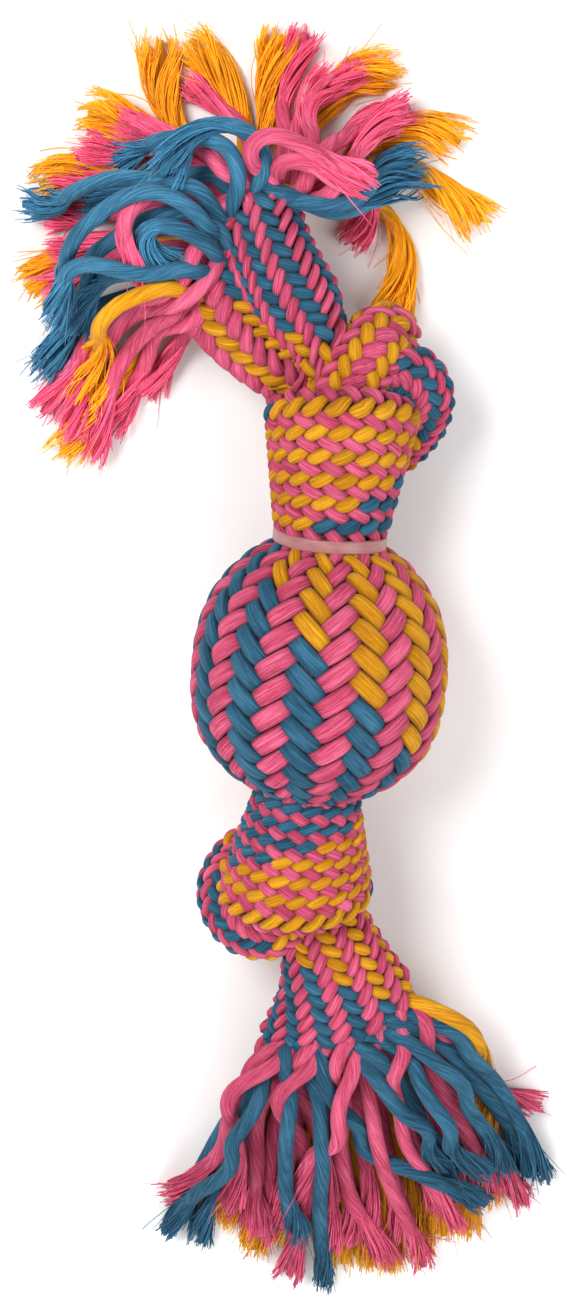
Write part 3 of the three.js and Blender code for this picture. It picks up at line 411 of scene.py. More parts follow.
# Control points of the loose strands, about 5 mm apart, in tenths of a millimetre:
# end, layer from back to front, lane, colour, pair of ends that it belongs to, points.
STRANDS = [
    ("upper", 3, 0, "y", 14, "-306,1006,374 -306,1006,374 -340,1019,387 -383,1013,387 -425,996,381 -472,974,368 -514,943,343 -548,904,306 -563,843,164 -568,793,62 -578,749,40 -589,710,40 -599,663,40"),
    ("upper", 3, 1, "b", 14, "-261,1004,402 -287,1023,439 -329,1036,422 -354,1036,378 -383,1032,335 -416,1028,296 -456,1024,265 -504,1017,247 -531,1006,206 -554,991,162 -576,967,122 -594,933,88 -608,888,70 -625,841,78"),
    ("upper", 3, 2, "b", 16, "-211,1024,337 -211,1024,337 -255,1044,362 -298,1053,374 -349,1046,381 -408,1031,381 -472,1035,381 -535,1051,374 -591,1056,356 -625,1036,325 -646,995,283 -659,941,215 -671,879,147"),
    ("upper", 3, 3, "b", 16, "-226,1064,343 -226,1064,343 -272,1100,368 -323,1134,387 -374,1155,393 -417,1157,393 -442,1133,381 -436,1100,368 -412,1069,356 -378,1053,343 -349,1051,331"),
    ("upper", 3, 4, "b", 18, "-217,1119,337 -217,1119,337 -251,1165,350 -289,1187,350 -332,1184,337 -383,1177,325 -434,1162,312 -485,1129,300 -535,1092,249 -578,1055,198 -591,990,130 -604,909,40 -627,880,40 -653,840,40 -670,809,40 -688,772,40 -704,728,40"),
    ("upper", 3, 5, "b", 18, "-270,1122,362 -270,1122,362 -294,1171,387 -336,1210,405 -387,1237,412 -442,1241,412 -493,1221,399 -544,1185,381 -591,1143,356 -620,1103,325 -637,1056,283 -650,993,215 -659,927,147"),
    ("upper", 3, 6, "b", 19, "-238,1178,350 -238,1178,350 -260,1222,374 -298,1255,387 -344,1266,387 -391,1262,374 -442,1266,356 -493,1267,337 -548,1255,312 -603,1231,249 -654,1196,147 -704,1171,45 -740,1170,40 -760,1173,40"),
    ("upper", 3, 7, "b", 21, "-200,1252,350 -200,1252,350 -204,1294,362 -215,1328,350 -238,1351,337 -274,1364,331 -317,1367,319 -366,1363,300 -417,1347,249 -472,1317,164 -518,1291,96"),
    ("upper", 3, 8, "b", 21, "-139,1271,337 -139,1271,337 -134,1307,325 -145,1345,319 -173,1376,319 -213,1396,325 -257,1404,331 -296,1397,350 -328,1375,368 -355,1344,387 -376,1307,393 -391,1274,393"),
    ("upper", 3, 9, "b", 22, "-86,1221,326 -122,1240,301 -162,1256,278 -209,1267,269 -257,1271,278 -295,1269,249 -320,1264,207 -348,1258,167 -381,1248,132 -421,1234,107 -467,1218,98 -512,1202,89 -555,1183,84 -597,1165,64"),
    ("upper", 3, 10, "b", 23, "-45,1200,343 -11,1200,339 37,1200,335 70,1203,296 100,1212,256 126,1233,218 143,1254,175 167,1270,134 203,1279,99 246,1285,72"),
    ("upper", 3, 11, "b", 24, "-7,1180,346 35,1176,297 63,1178,256 96,1180,220 133,1192,190 163,1208,157 190,1223,118 222,1235,83 262,1248,57"),
    ("upper", 2, 0, "p", 2, "-275,963,311 -295,919,298 -327,895,268 -349,885,223 -372,876,178 -398,866,135 -422,844,96 -435,806,65 -447,761,45 -467,720,23 -495,677,20 -522,634,20 -548,590,20"),
    ("upper", 2, 1, "p", 3, "-261,1004,305 -275,980,344 -300,940,342 -333,917,315 -363,910,278 -386,903,236 -409,888,195 -432,867,158 -454,843,122 -476,816,88 -501,781,64 -524,739,61 -540,693,62 -550,646,55 -561,599,59 -571,557,41 -582,515,20"),
    ("upper", 2, 2, "p", 15, "-252,1045,260 -257,1039,309 -269,1022,353 -292,987,378 -326,954,366 -359,944,329 -387,941,288 -413,932,247 -434,922,202 -457,910,160 -482,892,120 -508,867,85 -535,833,63 -561,791,56 -582,747,42 -600,702,30 -617,658,43 -632,612,56 -647,565,61"),
    ("upper", 2, 3, "p", 15, "-248,1086,249 -248,1086,249 -281,1135,331 -319,1146,343 -334,1119,356 -323,1088,374 -315,1062,374 -321,1022,350 -344,991,325 -399,966,300 -445,951,215 -489,927,113 -512,903,40 -537,888,40 -566,864,40 -594,825,40 -617,783,40 -640,738,40 -668,697,40 -693,660,40 -717,631,40"),
    ("upper", 2, 4, "p", 17, "-302,1180,319 -302,1180,319 -332,1216,325 -366,1219,319 -408,1216,325 -446,1213,362 -474,1192,393 -490,1154,399 -485,1109,393 -465,1069,368 -442,1032,337 -417,994,300"),
    ("upper", 2, 5, "p", 17, "-238,1172,292 -281,1164,266 -320,1160,232 -353,1165,192 -390,1171,157 -435,1170,131 -483,1161,114 -520,1156,79 -557,1151,44 -604,1145,22 -656,1139,20 -707,1133,20"),
    ("upper", 2, 6, "p", 19, "-260,1234,325 -260,1234,325 -274,1276,362 -270,1317,368 -255,1352,350 -262,1369,319 -289,1370,283 -323,1351,215 -379,1323,96 -427,1309,40 -476,1304,40 -519,1301,40 -571,1296,40 -622,1293,40"),
    ("upper", 2, 7, "p", 20, "-161,1288,325 -161,1288,325 -177,1328,362 -166,1360,381 -136,1379,393 -92,1375,399 -46,1354,399 3,1322,387 61,1283,350 115,1258,306"),
    ("upper", 2, 8, "p", 20, "-107,1283,337 -107,1283,337 -90,1312,374 -56,1317,387 -23,1304,387 13,1283,374 64,1262,350 115,1253,319"),
    ("upper", 2, 9, "p", 22, "-86,1221,286 -62,1259,302 -37,1298,291 -21,1329,261 -16,1352,218 -21,1377,177 -32,1406,140 -27,1441,108 0,1476,90 37,1507,89"),
    ("upper", 2, 10, "p", 23, "-45,1209,272 -40,1231,315 -31,1273,333 -10,1315,321 15,1334,285 34,1344,241 56,1353,198 82,1359,158 112,1368,120 146,1384,90 187,1406,74 231,1426,75"),
    ("upper", 2, 11, "p", 24, "-7,1188,285 11,1211,324 39,1245,336 61,1272,304 77,1292,263 94,1313,223 113,1338,186 138,1366,155 169,1391,127 210,1414,117"),
    ("upper", 1, 0, "p", 2, "-275,963,274 -298,923,256 -312,900,214 -324,880,169 -337,858,126 -352,832,85 -369,801,50 -388,761,25 -412,717,20 -438,674,20"),
    ("upper", 1, 1, "p", 3, "-261,1004,266 -309,998,262 -333,990,218 -355,978,173 -379,961,131 -404,941,92 -432,919,55 -467,894,27 -509,866,20 -549,833,20 -585,798,20 -618,759,20 -644,714,20 -667,669,20"),
    ("upper", 1, 2, "p", 4, "-252,1045,222 -296,1059,204 -322,1065,161 -352,1067,121 -389,1064,87 -433,1058,65 -483,1055,62 -533,1048,62 -580,1030,60 -624,1007,51 -666,981,45 -708,953,49"),
    ("upper", 1, 3, "p", 5, "-247,1088,213 -284,1114,194 -307,1128,152 -334,1136,111 -367,1134,74 -407,1123,47 -454,1111,38 -499,1099,54 -542,1087,76 -588,1073,67 -633,1058,56 -681,1042,54"),
    ("upper", 1, 4, "p", 6, "-245,1131,227 -272,1173,226 -290,1196,186 -312,1212,144 -343,1223,105 -382,1231,74 -430,1237,61 -481,1240,62 -532,1239,61 -582,1233,54 -630,1222,45 -679,1211,53"),
    ("upper", 1, 5, "p", 7, "-238,1172,255 -256,1212,231 -267,1236,189 -283,1260,147 -308,1279,107 -344,1290,74 -389,1303,55 -437,1318,48 -482,1328,28 -531,1333,20 -582,1335,20"),
    ("upper", 1, 6, "p", 8, "-210,1204,205 -227,1247,183 -248,1281,151 -282,1310,127 -318,1330,95 -363,1348,78 -409,1361,60 -460,1374,62 -510,1384,62"),
    ("upper", 1, 7, "p", 9, "-171,1221,208 -170,1267,188 -169,1295,146 -172,1327,107 -188,1363,74 -220,1398,57 -255,1426,34 -296,1452,21 -340,1478,20"),
    ("upper", 1, 8, "p", 10, "-128,1225,213 -110,1265,196 -99,1289,157 -89,1315,118 -84,1346,82 -90,1385,55 -94,1430,44 -85,1475,30 -70,1518,20 -53,1563,20 -33,1607,20"),
    ("upper", 1, 9, "p", 11, "-86,1221,222 -75,1268,210 -68,1302,174 -61,1335,137 -55,1370,101 -43,1407,69 -9,1439,54 33,1466,60 74,1495,62 114,1526,59"),
    ("upper", 1, 10, "p", 12, "-45,1209,235 -14,1242,214 2,1261,168 20,1281,124 39,1306,82 60,1337,46 91,1371,23 134,1399,20 184,1404,24 227,1388,49"),
    ("upper", 1, 11, "p", 13, "-7,1188,247 -2,1235,256 20,1259,225 47,1257,185 77,1246,148 105,1220,119 123,1181,97 123,1146,64 111,1110,35 86,1071,20"),
    ("upper", 0, 0, "b", 1, "-275,963,209 -308,967,176 -334,969,131 -364,968,90 -398,961,53 -440,949,26 -489,934,20 -538,919,20 -585,900,20 -627,871,20 -661,833,20 -691,791,20 -718,747,20"),
    ("upper", 0, 1, "y", 1, "-261,1004,195 -278,986,237 -310,950,233 -328,932,189 -345,914,145 -365,894,102 -388,871,64 -417,842,33 -451,807,20 -485,769,20 -518,730,20 -549,690,20 -580,649,20 -608,607,20 -636,564,20 -663,521,20"),
    ("upper", 0, 2, "y", 4, "-252,1045,184 -286,1052,152 -312,1057,110 -344,1063,71 -382,1066,38 -429,1064,21 -479,1058,20 -529,1050,20 -579,1043,20 -629,1035,20 -675,1015,20 -716,986,20 -756,955,20"),
    ("upper", 0, 3, "y", 5, "-247,1088,175 -268,1115,144 -285,1137,102 -306,1162,64 -337,1188,33 -380,1209,20 -428,1224,20 -476,1238,20 -525,1250,20 -575,1258,20 -625,1257,20 -674,1245,20 -716,1218,20"),
    ("upper", 0, 4, "y", 6, "-245,1131,190 -260,1161,159 -271,1185,117 -284,1213,78 -300,1245,44 -325,1283,23 -362,1314,20 -407,1337,20 -450,1361,20 -494,1384,20 -542,1397,20 -591,1407,20"),
    ("upper", 0, 5, "y", 7, "-238,1172,208 -251,1204,177 -260,1228,135 -271,1257,96 -287,1290,62 -314,1325,42 -353,1355,36 -377,1394,21 -394,1441,20 -404,1490,20 -406,1539,20 -406,1589,20"),
    ("upper", 0, 6, "y", 8, "-210,1204,167 -204,1238,137 -198,1266,96 -192,1298,59 -188,1338,31 -194,1386,20 -211,1432,20 -234,1476,20 -261,1517,20 -295,1554,20 -329,1589,20"),
    ("upper", 0, 7, "y", 9, "-171,1221,170 -161,1255,138 -152,1282,97 -143,1315,59 -135,1356,30 -131,1405,20 -128,1455,20 -121,1506,20 -110,1555,20 -97,1604,20"),
    ("upper", 0, 8, "y", 10, "-128,1225,175 -108,1252,146 -93,1273,106 -75,1297,69 -53,1327,38 -26,1362,21 3,1400,20 31,1439,20 60,1477,20 99,1503,20 145,1517,20 191,1528,20"),
    ("upper", 0, 9, "y", 11, "-86,1221,184 -55,1236,152 -30,1248,110 -1,1262,71 34,1278,38 77,1297,21 123,1317,20 170,1335,20 218,1353,20 267,1363,20 315,1351,20 362,1330,20"),
    ("upper", 0, 10, "y", 12, "-45,1209,198 -13,1220,166 12,1229,123 41,1239,82 75,1250,47 118,1262,24 167,1275,20 217,1277,20 262,1254,20 300,1220,20 338,1187,20 377,1154,20 415,1120,20"),
    ("upper", 0, 11, "y", 13, "-7,1188,210 26,1196,177 51,1201,132 81,1202,90 115,1191,53 153,1168,26 189,1132,20 210,1085,20 217,1034,20 211,983,20 200,932,20 187,882,20"),
    ("lower", 3, 0, "b", 13, "-126,-1015,285 -141,-1053,314 -160,-1099,306 -176,-1144,288 -186,-1180,253 -192,-1209,211 -198,-1243,173 -205,-1284,145 -218,-1333,135 -236,-1380,127 -254,-1426,113 -270,-1466,86 -287,-1508,62 -302,-1555,52 -311,-1598,26 -319,-1648,20"),
    ("lower", 3, 1, "b", 14, "-115,-1073,250 -115,-1073,250 -138,-1111,270 -154,-1154,290 -193,-1224,290 -232,-1277,280 -223,-1347,246 -253,-1388,228 -285,-1420,200 -312,-1448,158 -338,-1487,114 -361,-1527,64 -389,-1570,59 -416,-1612,46"),
    ("lower", 3, 6, "b", 14, "109,-986,320 109,-986,320 154,-1027,315 184,-1070,290 223,-1120,250 246,-1183,220 278,-1256,180 319,-1330,140 355,-1409,100 387,-1483,60"),
    ("lower", 3, 2, "b", 16, "-95,-1033,310 -95,-1033,310 -83,-1086,300 -72,-1136,285 -76,-1205,290 -86,-1277,280 -85,-1360,237 -88,-1408,211 -83,-1457,192 -73,-1506,169 -61,-1551,131 -47,-1600,103"),
    ("lower", 3, 4, "b", 17, "5,-1016,310 5,-1016,310 10,-1079,310 31,-1140,290 56,-1188,260 86,-1225,230 122,-1248,220 105,-1322,190 146,-1347,177 189,-1369,168 231,-1384,169 272,-1397,181 315,-1418,177 352,-1442,159 381,-1462,125 415,-1487,101 454,-1514,97"),
    ("lower", 3, 3, "b", 18, "-31,-1080,250 -31,-1080,250 -8,-1118,270 6,-1177,290 8,-1275,290 14,-1350,251 10,-1394,223 7,-1443,194 6,-1489,155 6,-1539,118 8,-1589,84 11,-1640,81 13,-1685,64 16,-1725,34 19,-1774,20"),
    ("lower", 3, 5, "b", 19, "120,-1047,310 120,-1047,310 170,-1115,305 216,-1186,290 259,-1223,270 300,-1251,250 286,-1319,216 312,-1345,192 345,-1375,164"),
    ("lower", 3, 8, "b", 22, "202,-949,320 202,-949,320 255,-999,315 319,-1058,300 386,-1121,280 393,-1192,241 421,-1229,216 447,-1271,196 471,-1315,177 490,-1361,157 505,-1408,130"),
    ("lower", 3, 7, "b", 21, "186,-1008,270 186,-1008,270 247,-1044,290 266,-1105,300 310,-1176,295 351,-1235,280 351,-1313,238 380,-1336,226 420,-1363,212 461,-1388,191"),
    ("lower", 3, 9, "b", 21, "177,-904,320 177,-904,320 227,-923,310 259,-960,280 305,-1005,240 346,-1038,220 402,-1121,187 429,-1158,168 458,-1198,150 485,-1239,125 506,-1280,89 527,-1325,62 546,-1372,62 560,-1416,48 573,-1457,22"),
    ("lower", 3, 10, "b", 23, "241,-922,270 241,-922,270 310,-950,280 374,-982,260 386,-1030,250 404,-1056,230 423,-1081,206 446,-1113,172 472,-1152,139 499,-1195,120 521,-1239,109 542,-1282,91 562,-1328,90 582,-1375,87 599,-1417,66 616,-1456,39"),
    ("lower", 3, 11, "y", 24, "248,-879,310 248,-879,310 333,-919,290 392,-962,260 422,-1023,210 435,-1098,150 448,-1182,100 463,-1262,70 479,-1334,50"),
    ("lower", 2, 2, "p", 13, "-111,-1051,310 -111,-1051,310 -175,-1086,310 -227,-1126,290 -241,-1167,270 -232,-1216,240 -223,-1266,200 -209,-1373,166 -220,-1421,149 -226,-1470,132 -231,-1519,115"),
    ("lower", 2, 1, "p", 15, "-83,-991,310 -83,-991,310 -134,-1012,310 -175,-1044,290 -185,-1081,260 -188,-1126,220 -200,-1184,190 -239,-1245,170 -247,-1323,141 -269,-1366,127 -299,-1404,106 -333,-1442,90 -368,-1478,64 -400,-1510,22"),
    ("lower", 2, 0, "p", 15, "-95,-1099,284 -117,-1136,262 -131,-1160,220 -145,-1187,181 -156,-1222,147 -163,-1266,125 -165,-1316,123 -162,-1361,104 -160,-1408,89 -167,-1458,86 -171,-1507,81 -162,-1556,87 -150,-1604,94"),
    ("lower", 2, 4, "p", 16, "-10,-1056,310 -10,-1056,310 -74,-1097,315 -116,-1137,300 -111,-1180,275 -81,-1223,250 -51,-1271,220 -31,-1362,181 -12,-1408,161 -15,-1457,137 -26,-1504,105 -40,-1552,85 -54,-1601,62 -63,-1651,57 -69,-1699,47 -74,-1742,21"),
    ("lower", 2, 6, "p", 17, "104,-1016,320 104,-1016,320 90,-1077,320 58,-1144,315 51,-1210,310 57,-1275,290 -11,-1313,245 -25,-1356,223 -38,-1400,193 -48,-1444,158 -58,-1488,119"),
    ("lower", 2, 5, "p", 18, "90,-974,320 90,-974,320 58,-1014,320 42,-1061,310 51,-1113,260 63,-1164,220 76,-1209,207 72,-1238,188 65,-1273,164 62,-1317,135 62,-1368,114 69,-1418,93 80,-1468,89 98,-1516,87 122,-1560,85 149,-1602,95 173,-1643,79 197,-1684,62"),
    ("lower", 2, 7, "p", 19, "177,-942,320 177,-942,320 154,-991,310 141,-1032,270 129,-1085,240 131,-1143,230 145,-1218,230 154,-1285,220 174,-1370,182 188,-1419,165 207,-1466,148 226,-1514,131 243,-1562,112 259,-1611,93 274,-1654,70 290,-1701,61"),
    ("lower", 2, 3, "p", 20, "-1,-995,310 -1,-995,310 -47,-1035,310 -65,-1072,280 -56,-1124,230 -33,-1200,180 -1,-1288,140 17,-1365,118 26,-1441,107 35,-1518,85"),
    ("lower", 2, 8, "p", 22, "232,-991,310 232,-991,310 218,-1042,310 192,-1091,300 200,-1146,260 218,-1201,220 231,-1301,190 255,-1346,179 281,-1390,168 306,-1434,159 331,-1479,150 357,-1523,139 383,-1566,132"),
    ("lower", 2, 10, "p", 20, "197,-999,244 227,-1035,229 250,-1061,197 269,-1083,158 291,-1110,125 315,-1145,102 336,-1188,97 363,-1228,100 397,-1262,104 429,-1298,103 457,-1337,100 483,-1378,95 506,-1420,86 526,-1462,74 543,-1497,48 561,-1534,23"),
    ("lower", 2, 9, "p", 23, "287,-909,300 287,-909,300 287,-965,300 284,-1016,280 296,-1082,230 338,-1180,198 363,-1223,187 387,-1266,177 407,-1310,161 425,-1354,137 441,-1394,98 459,-1439,88 476,-1484,78"),
    ("lower", 2, 11, "p", 24, "263,-933,234 295,-966,248 327,-998,235 348,-1020,198 365,-1038,157 383,-1061,118 402,-1090,85 421,-1128,62 446,-1169,59 478,-1205,56 514,-1234,44 554,-1252,23 601,-1260,20"),
    ("lower", 1, 0, "p", 2, "-126,-1015,196 -143,-1062,206 -157,-1099,177 -167,-1126,135 -179,-1159,97 -193,-1199,70 -209,-1247,62 -225,-1295,61 -238,-1344,54 -248,-1391,37 -258,-1440,29 -269,-1490,24 -280,-1539,20"),
    ("lower", 1, 1, "p", 2, "-122,-1062,237 -125,-1104,213 -127,-1140,180 -131,-1168,139 -137,-1200,101 -149,-1239,73 -164,-1285,62 -177,-1333,62 -186,-1382,60 -192,-1432,57 -198,-1481,53 -204,-1531,50 -210,-1580,48"),
    ("lower", 1, 2, "p", 3, "-95,-1099,247 -91,-1136,216 -90,-1164,173 -90,-1193,131 -96,-1228,94 -106,-1270,68 -118,-1319,61 -126,-1370,59 -130,-1421,55 -132,-1472,53 -136,-1523,53 -140,-1574,52 -144,-1625,52"),
    ("lower", 1, 3, "p", 4, "-52,-1118,209 -44,-1162,191 -42,-1189,151 -44,-1219,113 -49,-1255,81 -55,-1299,60 -64,-1347,57 -75,-1394,58 -87,-1441,60 -94,-1489,68 -98,-1537,66 -101,-1586,64"),
    ("lower", 1, 4, "p", 5, "-6,-1115,211 4,-1160,191 9,-1187,149 12,-1218,108 13,-1256,73 12,-1302,52 12,-1353,50 15,-1404,51 21,-1455,53 28,-1505,54 34,-1556,54 40,-1607,55 45,-1658,55"),
    ("lower", 1, 5, "p", 6, "38,-1097,212 45,-1144,194 49,-1172,151 53,-1204,111 57,-1242,77 60,-1290,58 63,-1341,56 69,-1392,54 77,-1443,49 85,-1493,47 91,-1545,47 93,-1596,50 94,-1647,53"),
    ("lower", 1, 6, "p", 7, "78,-1074,212 86,-1119,195 91,-1147,153 96,-1177,114 102,-1214,80 108,-1259,61 114,-1309,59 120,-1359,58 129,-1408,57 138,-1458,55 145,-1507,54 152,-1557,54 159,-1607,54"),
    ("lower", 1, 7, "p", 8, "119,-1051,211 131,-1094,194 138,-1121,154 146,-1150,115 154,-1185,82 163,-1228,61 170,-1276,57 178,-1324,55 188,-1372,54 198,-1420,55 209,-1468,55 219,-1516,55 230,-1564,56 240,-1612,56"),
    ("lower", 1, 8, "p", 9, "159,-1026,209 175,-1070,190 185,-1096,147 196,-1127,107 209,-1164,74 223,-1210,57 235,-1260,57 248,-1310,56 263,-1359,56 281,-1407,59 299,-1456,61 317,-1504,62 335,-1552,62"),
    ("lower", 1, 9, "p", 10, "197,-999,206 216,-1041,187 228,-1068,145 242,-1097,106 258,-1133,73 277,-1176,57 297,-1223,58 318,-1269,60 339,-1316,61 361,-1362,62 381,-1408,62 400,-1456,60 418,-1503,56"),
    ("lower", 1, 10, "p", 11, "232,-968,201 255,-1006,184 269,-1030,145 285,-1057,108 305,-1089,77 327,-1128,61 350,-1171,61 373,-1214,61 396,-1256,62 419,-1299,62 442,-1342,62 462,-1385,59 481,-1430,54 500,-1473,44"),
    ("lower", 1, 11, "p", 12, "263,-933,196 288,-972,177 303,-996,135 320,-1022,96 341,-1054,63 367,-1093,43 395,-1131,24 426,-1170,20 456,-1211,20 484,-1253,20 511,-1296,20 536,-1340,20 560,-1385,20"),
    ("lower", 0, 0, "b", 1, "-126,-1015,158 -135,-1049,128 -143,-1077,88 -152,-1110,53 -163,-1150,27 -180,-1196,20 -202,-1239,20 -229,-1281,20 -255,-1323,20 -278,-1366,20 -301,-1410,20 -322,-1454,20 -342,-1499,20 -360,-1545,20 -378,-1591,20"),
    ("lower", 0, 1, "y", 1, "-122,-1062,175 -127,-1097,144 -131,-1126,103 -136,-1161,66 -144,-1204,41 -156,-1249,22 -173,-1297,20 -190,-1344,20 -205,-1393,20 -217,-1442,20 -227,-1492,20 -236,-1542,20 -242,-1592,20 -248,-1642,20"),
    ("lower", 0, 2, "y", 3, "-95,-1099,181 -98,-1133,150 -100,-1160,109 -103,-1192,70 -108,-1230,39 -116,-1275,21 -130,-1323,20 -144,-1371,20 -153,-1420,20 -159,-1469,20 -163,-1519,20 -167,-1568,20 -171,-1618,20 -174,-1668,20 -178,-1717,20"),
    ("lower", 0, 3, "y", 4, "-52,-1118,171 -56,-1152,141 -58,-1180,99 -61,-1213,62 -66,-1253,33 -74,-1300,20 -85,-1348,20 -96,-1397,20 -103,-1446,20 -108,-1495,20 -110,-1545,20 -114,-1595,20 -117,-1644,20 -120,-1694,20"),
    ("lower", 0, 4, "y", 5, "-6,-1115,173 -10,-1149,143 -14,-1176,103 -18,-1207,65 -22,-1245,35 -28,-1291,21 -34,-1340,20 -39,-1389,20 -43,-1438,20 -46,-1487,20 -47,-1536,20 -46,-1585,20 -44,-1634,20 -41,-1683,20"),
    ("lower", 0, 5, "y", 6, "38,-1097,174 38,-1131,145 38,-1158,104 38,-1189,67 39,-1227,37 40,-1273,21 41,-1321,20 42,-1370,20 45,-1419,20 49,-1467,20 54,-1515,20 60,-1564,20 65,-1612,20 69,-1661,20 74,-1709,20 79,-1758,20"),
    ("lower", 0, 6, "y", 7, "78,-1074,174 81,-1109,143 83,-1137,101 85,-1170,63 88,-1211,33 92,-1259,20 97,-1310,20 103,-1361,20 108,-1411,20 114,-1461,20 121,-1512,20 128,-1562,20 134,-1612,20 141,-1663,20 148,-1713,20 155,-1763,20"),
    ("lower", 0, 7, "y", 8, "119,-1051,173 124,-1085,143 128,-1112,101 132,-1144,64 138,-1184,34 144,-1231,20 150,-1280,20 155,-1330,20 159,-1379,20 165,-1429,20 171,-1478,20 177,-1528,20 184,-1577,20 191,-1627,20 197,-1676,20 203,-1725,20 210,-1775,20"),
    ("lower", 0, 8, "y", 9, "159,-1026,171 164,-1061,139 168,-1090,97 173,-1123,59 179,-1165,30 186,-1214,20 194,-1265,20 203,-1315,20 212,-1366,20 222,-1416,20 233,-1466,20 244,-1516,20 254,-1566,20 264,-1617,20 273,-1667,20 283,-1717,20"),
    ("lower", 0, 9, "y", 10, "197,-999,168 205,-1034,136 211,-1062,95 218,-1095,57 226,-1136,29 237,-1184,20 249,-1233,20 263,-1282,20 277,-1331,20 291,-1380,20 304,-1429,20 316,-1478,20 328,-1527,20 337,-1577,20 345,-1627,20 354,-1677,20"),
    ("lower", 0, 10, "y", 11, "232,-968,163 243,-1001,134 251,-1027,94 261,-1058,58 274,-1096,30 288,-1141,20 304,-1187,20 320,-1233,20 337,-1279,20 352,-1325,20 366,-1372,20 378,-1419,20 389,-1467,20 398,-1515,20 404,-1563,20 410,-1611,20 416,-1660,20"),
    ("lower", 0, 11, "y", 12, "263,-933,158 276,-965,128 287,-992,88 300,-1023,53 316,-1062,27 334,-1107,20 354,-1152,20 375,-1196,20 397,-1240,20 416,-1286,20 431,-1333,20 444,-1380,20 455,-1428,20 464,-1476,20 472,-1525,20 480,-1573,20"),
]


# ------------------------------------------------------------------ surfaces that the braid follows


def spline(points, count):
    """An even polyline on a smooth curve through the points (centripetal Catmull-Rom)."""
    p = np.asarray(points, float)
    p = np.concatenate([[2 * p[0] - p[1]], p, [2 * p[-1] - p[-2]]])
    out = []
    for a, b, c, d in zip(p[:-3], p[1:-2], p[2:-1], p[3:]):
        t0 = 0.0
        t1 = t0 + max(np.linalg.norm(b - a), 1e-6) ** 0.5
        t2 = t1 + max(np.linalg.norm(c - b), 1e-6) ** 0.5
        t3 = t2 + max(np.linalg.norm(d - c), 1e-6) ** 0.5
        t = np.linspace(t1, t2, 13)[:-1, None]
        a1 = (t1 - t) / (t1 - t0) * a + (t - t0) / (t1 - t0) * b
        a2 = (t2 - t) / (t2 - t1) * b + (t - t1) / (t2 - t1) * c
        a3 = (t3 - t) / (t3 - t2) * c + (t - t2) / (t3 - t2) * d
        b1 = (t2 - t) / (t2 - t0) * a1 + (t - t0) / (t2 - t0) * a2
        b2 = (t3 - t) / (t3 - t1) * a2 + (t - t1) / (t3 - t1) * a3
        out.append((t2 - t) / (t2 - t1) * b1 + (t - t1) / (t2 - t1) * b2)
    out = np.concatenate(out + [p[-2:-1]])
    s = along(out)
    t = np.linspace(0, s[-1], count)
    return np.stack([np.interp(t, s, out[:, k]) for k in range(out.shape[1])], 1)


def ball_surface():
    """Middle of the cover: a ball that turns into a narrow neck at each pole."""
    up_side = spline([(30.7, 0), (30.5, 6), (29.4, 12), (27.2, 18), (24.2, 22.6), (19.6, 27.3), (15.2, 30.4), (12.0, 32.2),
                      (10.2, 34.0), (9.5, 36.5), (9.3, 41), (9.3, 48)], 240)
    low_side = spline([(30.7, 0), (30.2, 8), (27.7, 16), (23.2, 21.8), (18.2, 25.6), (14.4, 27.6), (11.6, 29.2), (9.9, 31.4),
                       (9.3, 35), (9.3, 48)], 240)
    su, sl = along(up_side), along(low_side)
    c, d = math.cos(math.radians(-5.1)), math.sin(math.radians(-5.1))

    def S(u, N):
        th = np.radians(15.0 * u + 7.5)
        a = (N + 0.575 - 0.23 * np.sin(th)) * 6.55
        rr = np.where(a > 0, np.interp(a, su, up_side[:, 0]), np.interp(-a, sl, low_side[:, 0]))
        yy = np.where(a > 0, np.interp(a, su, up_side[:, 1]), -np.interp(-a, sl, low_side[:, 1]))
        x, z = rr * np.sin(th), rr * np.cos(th)
        return np.stack([c * x - d * yy, d * x + c * yy, z + BALL_Z], -1)
    return S


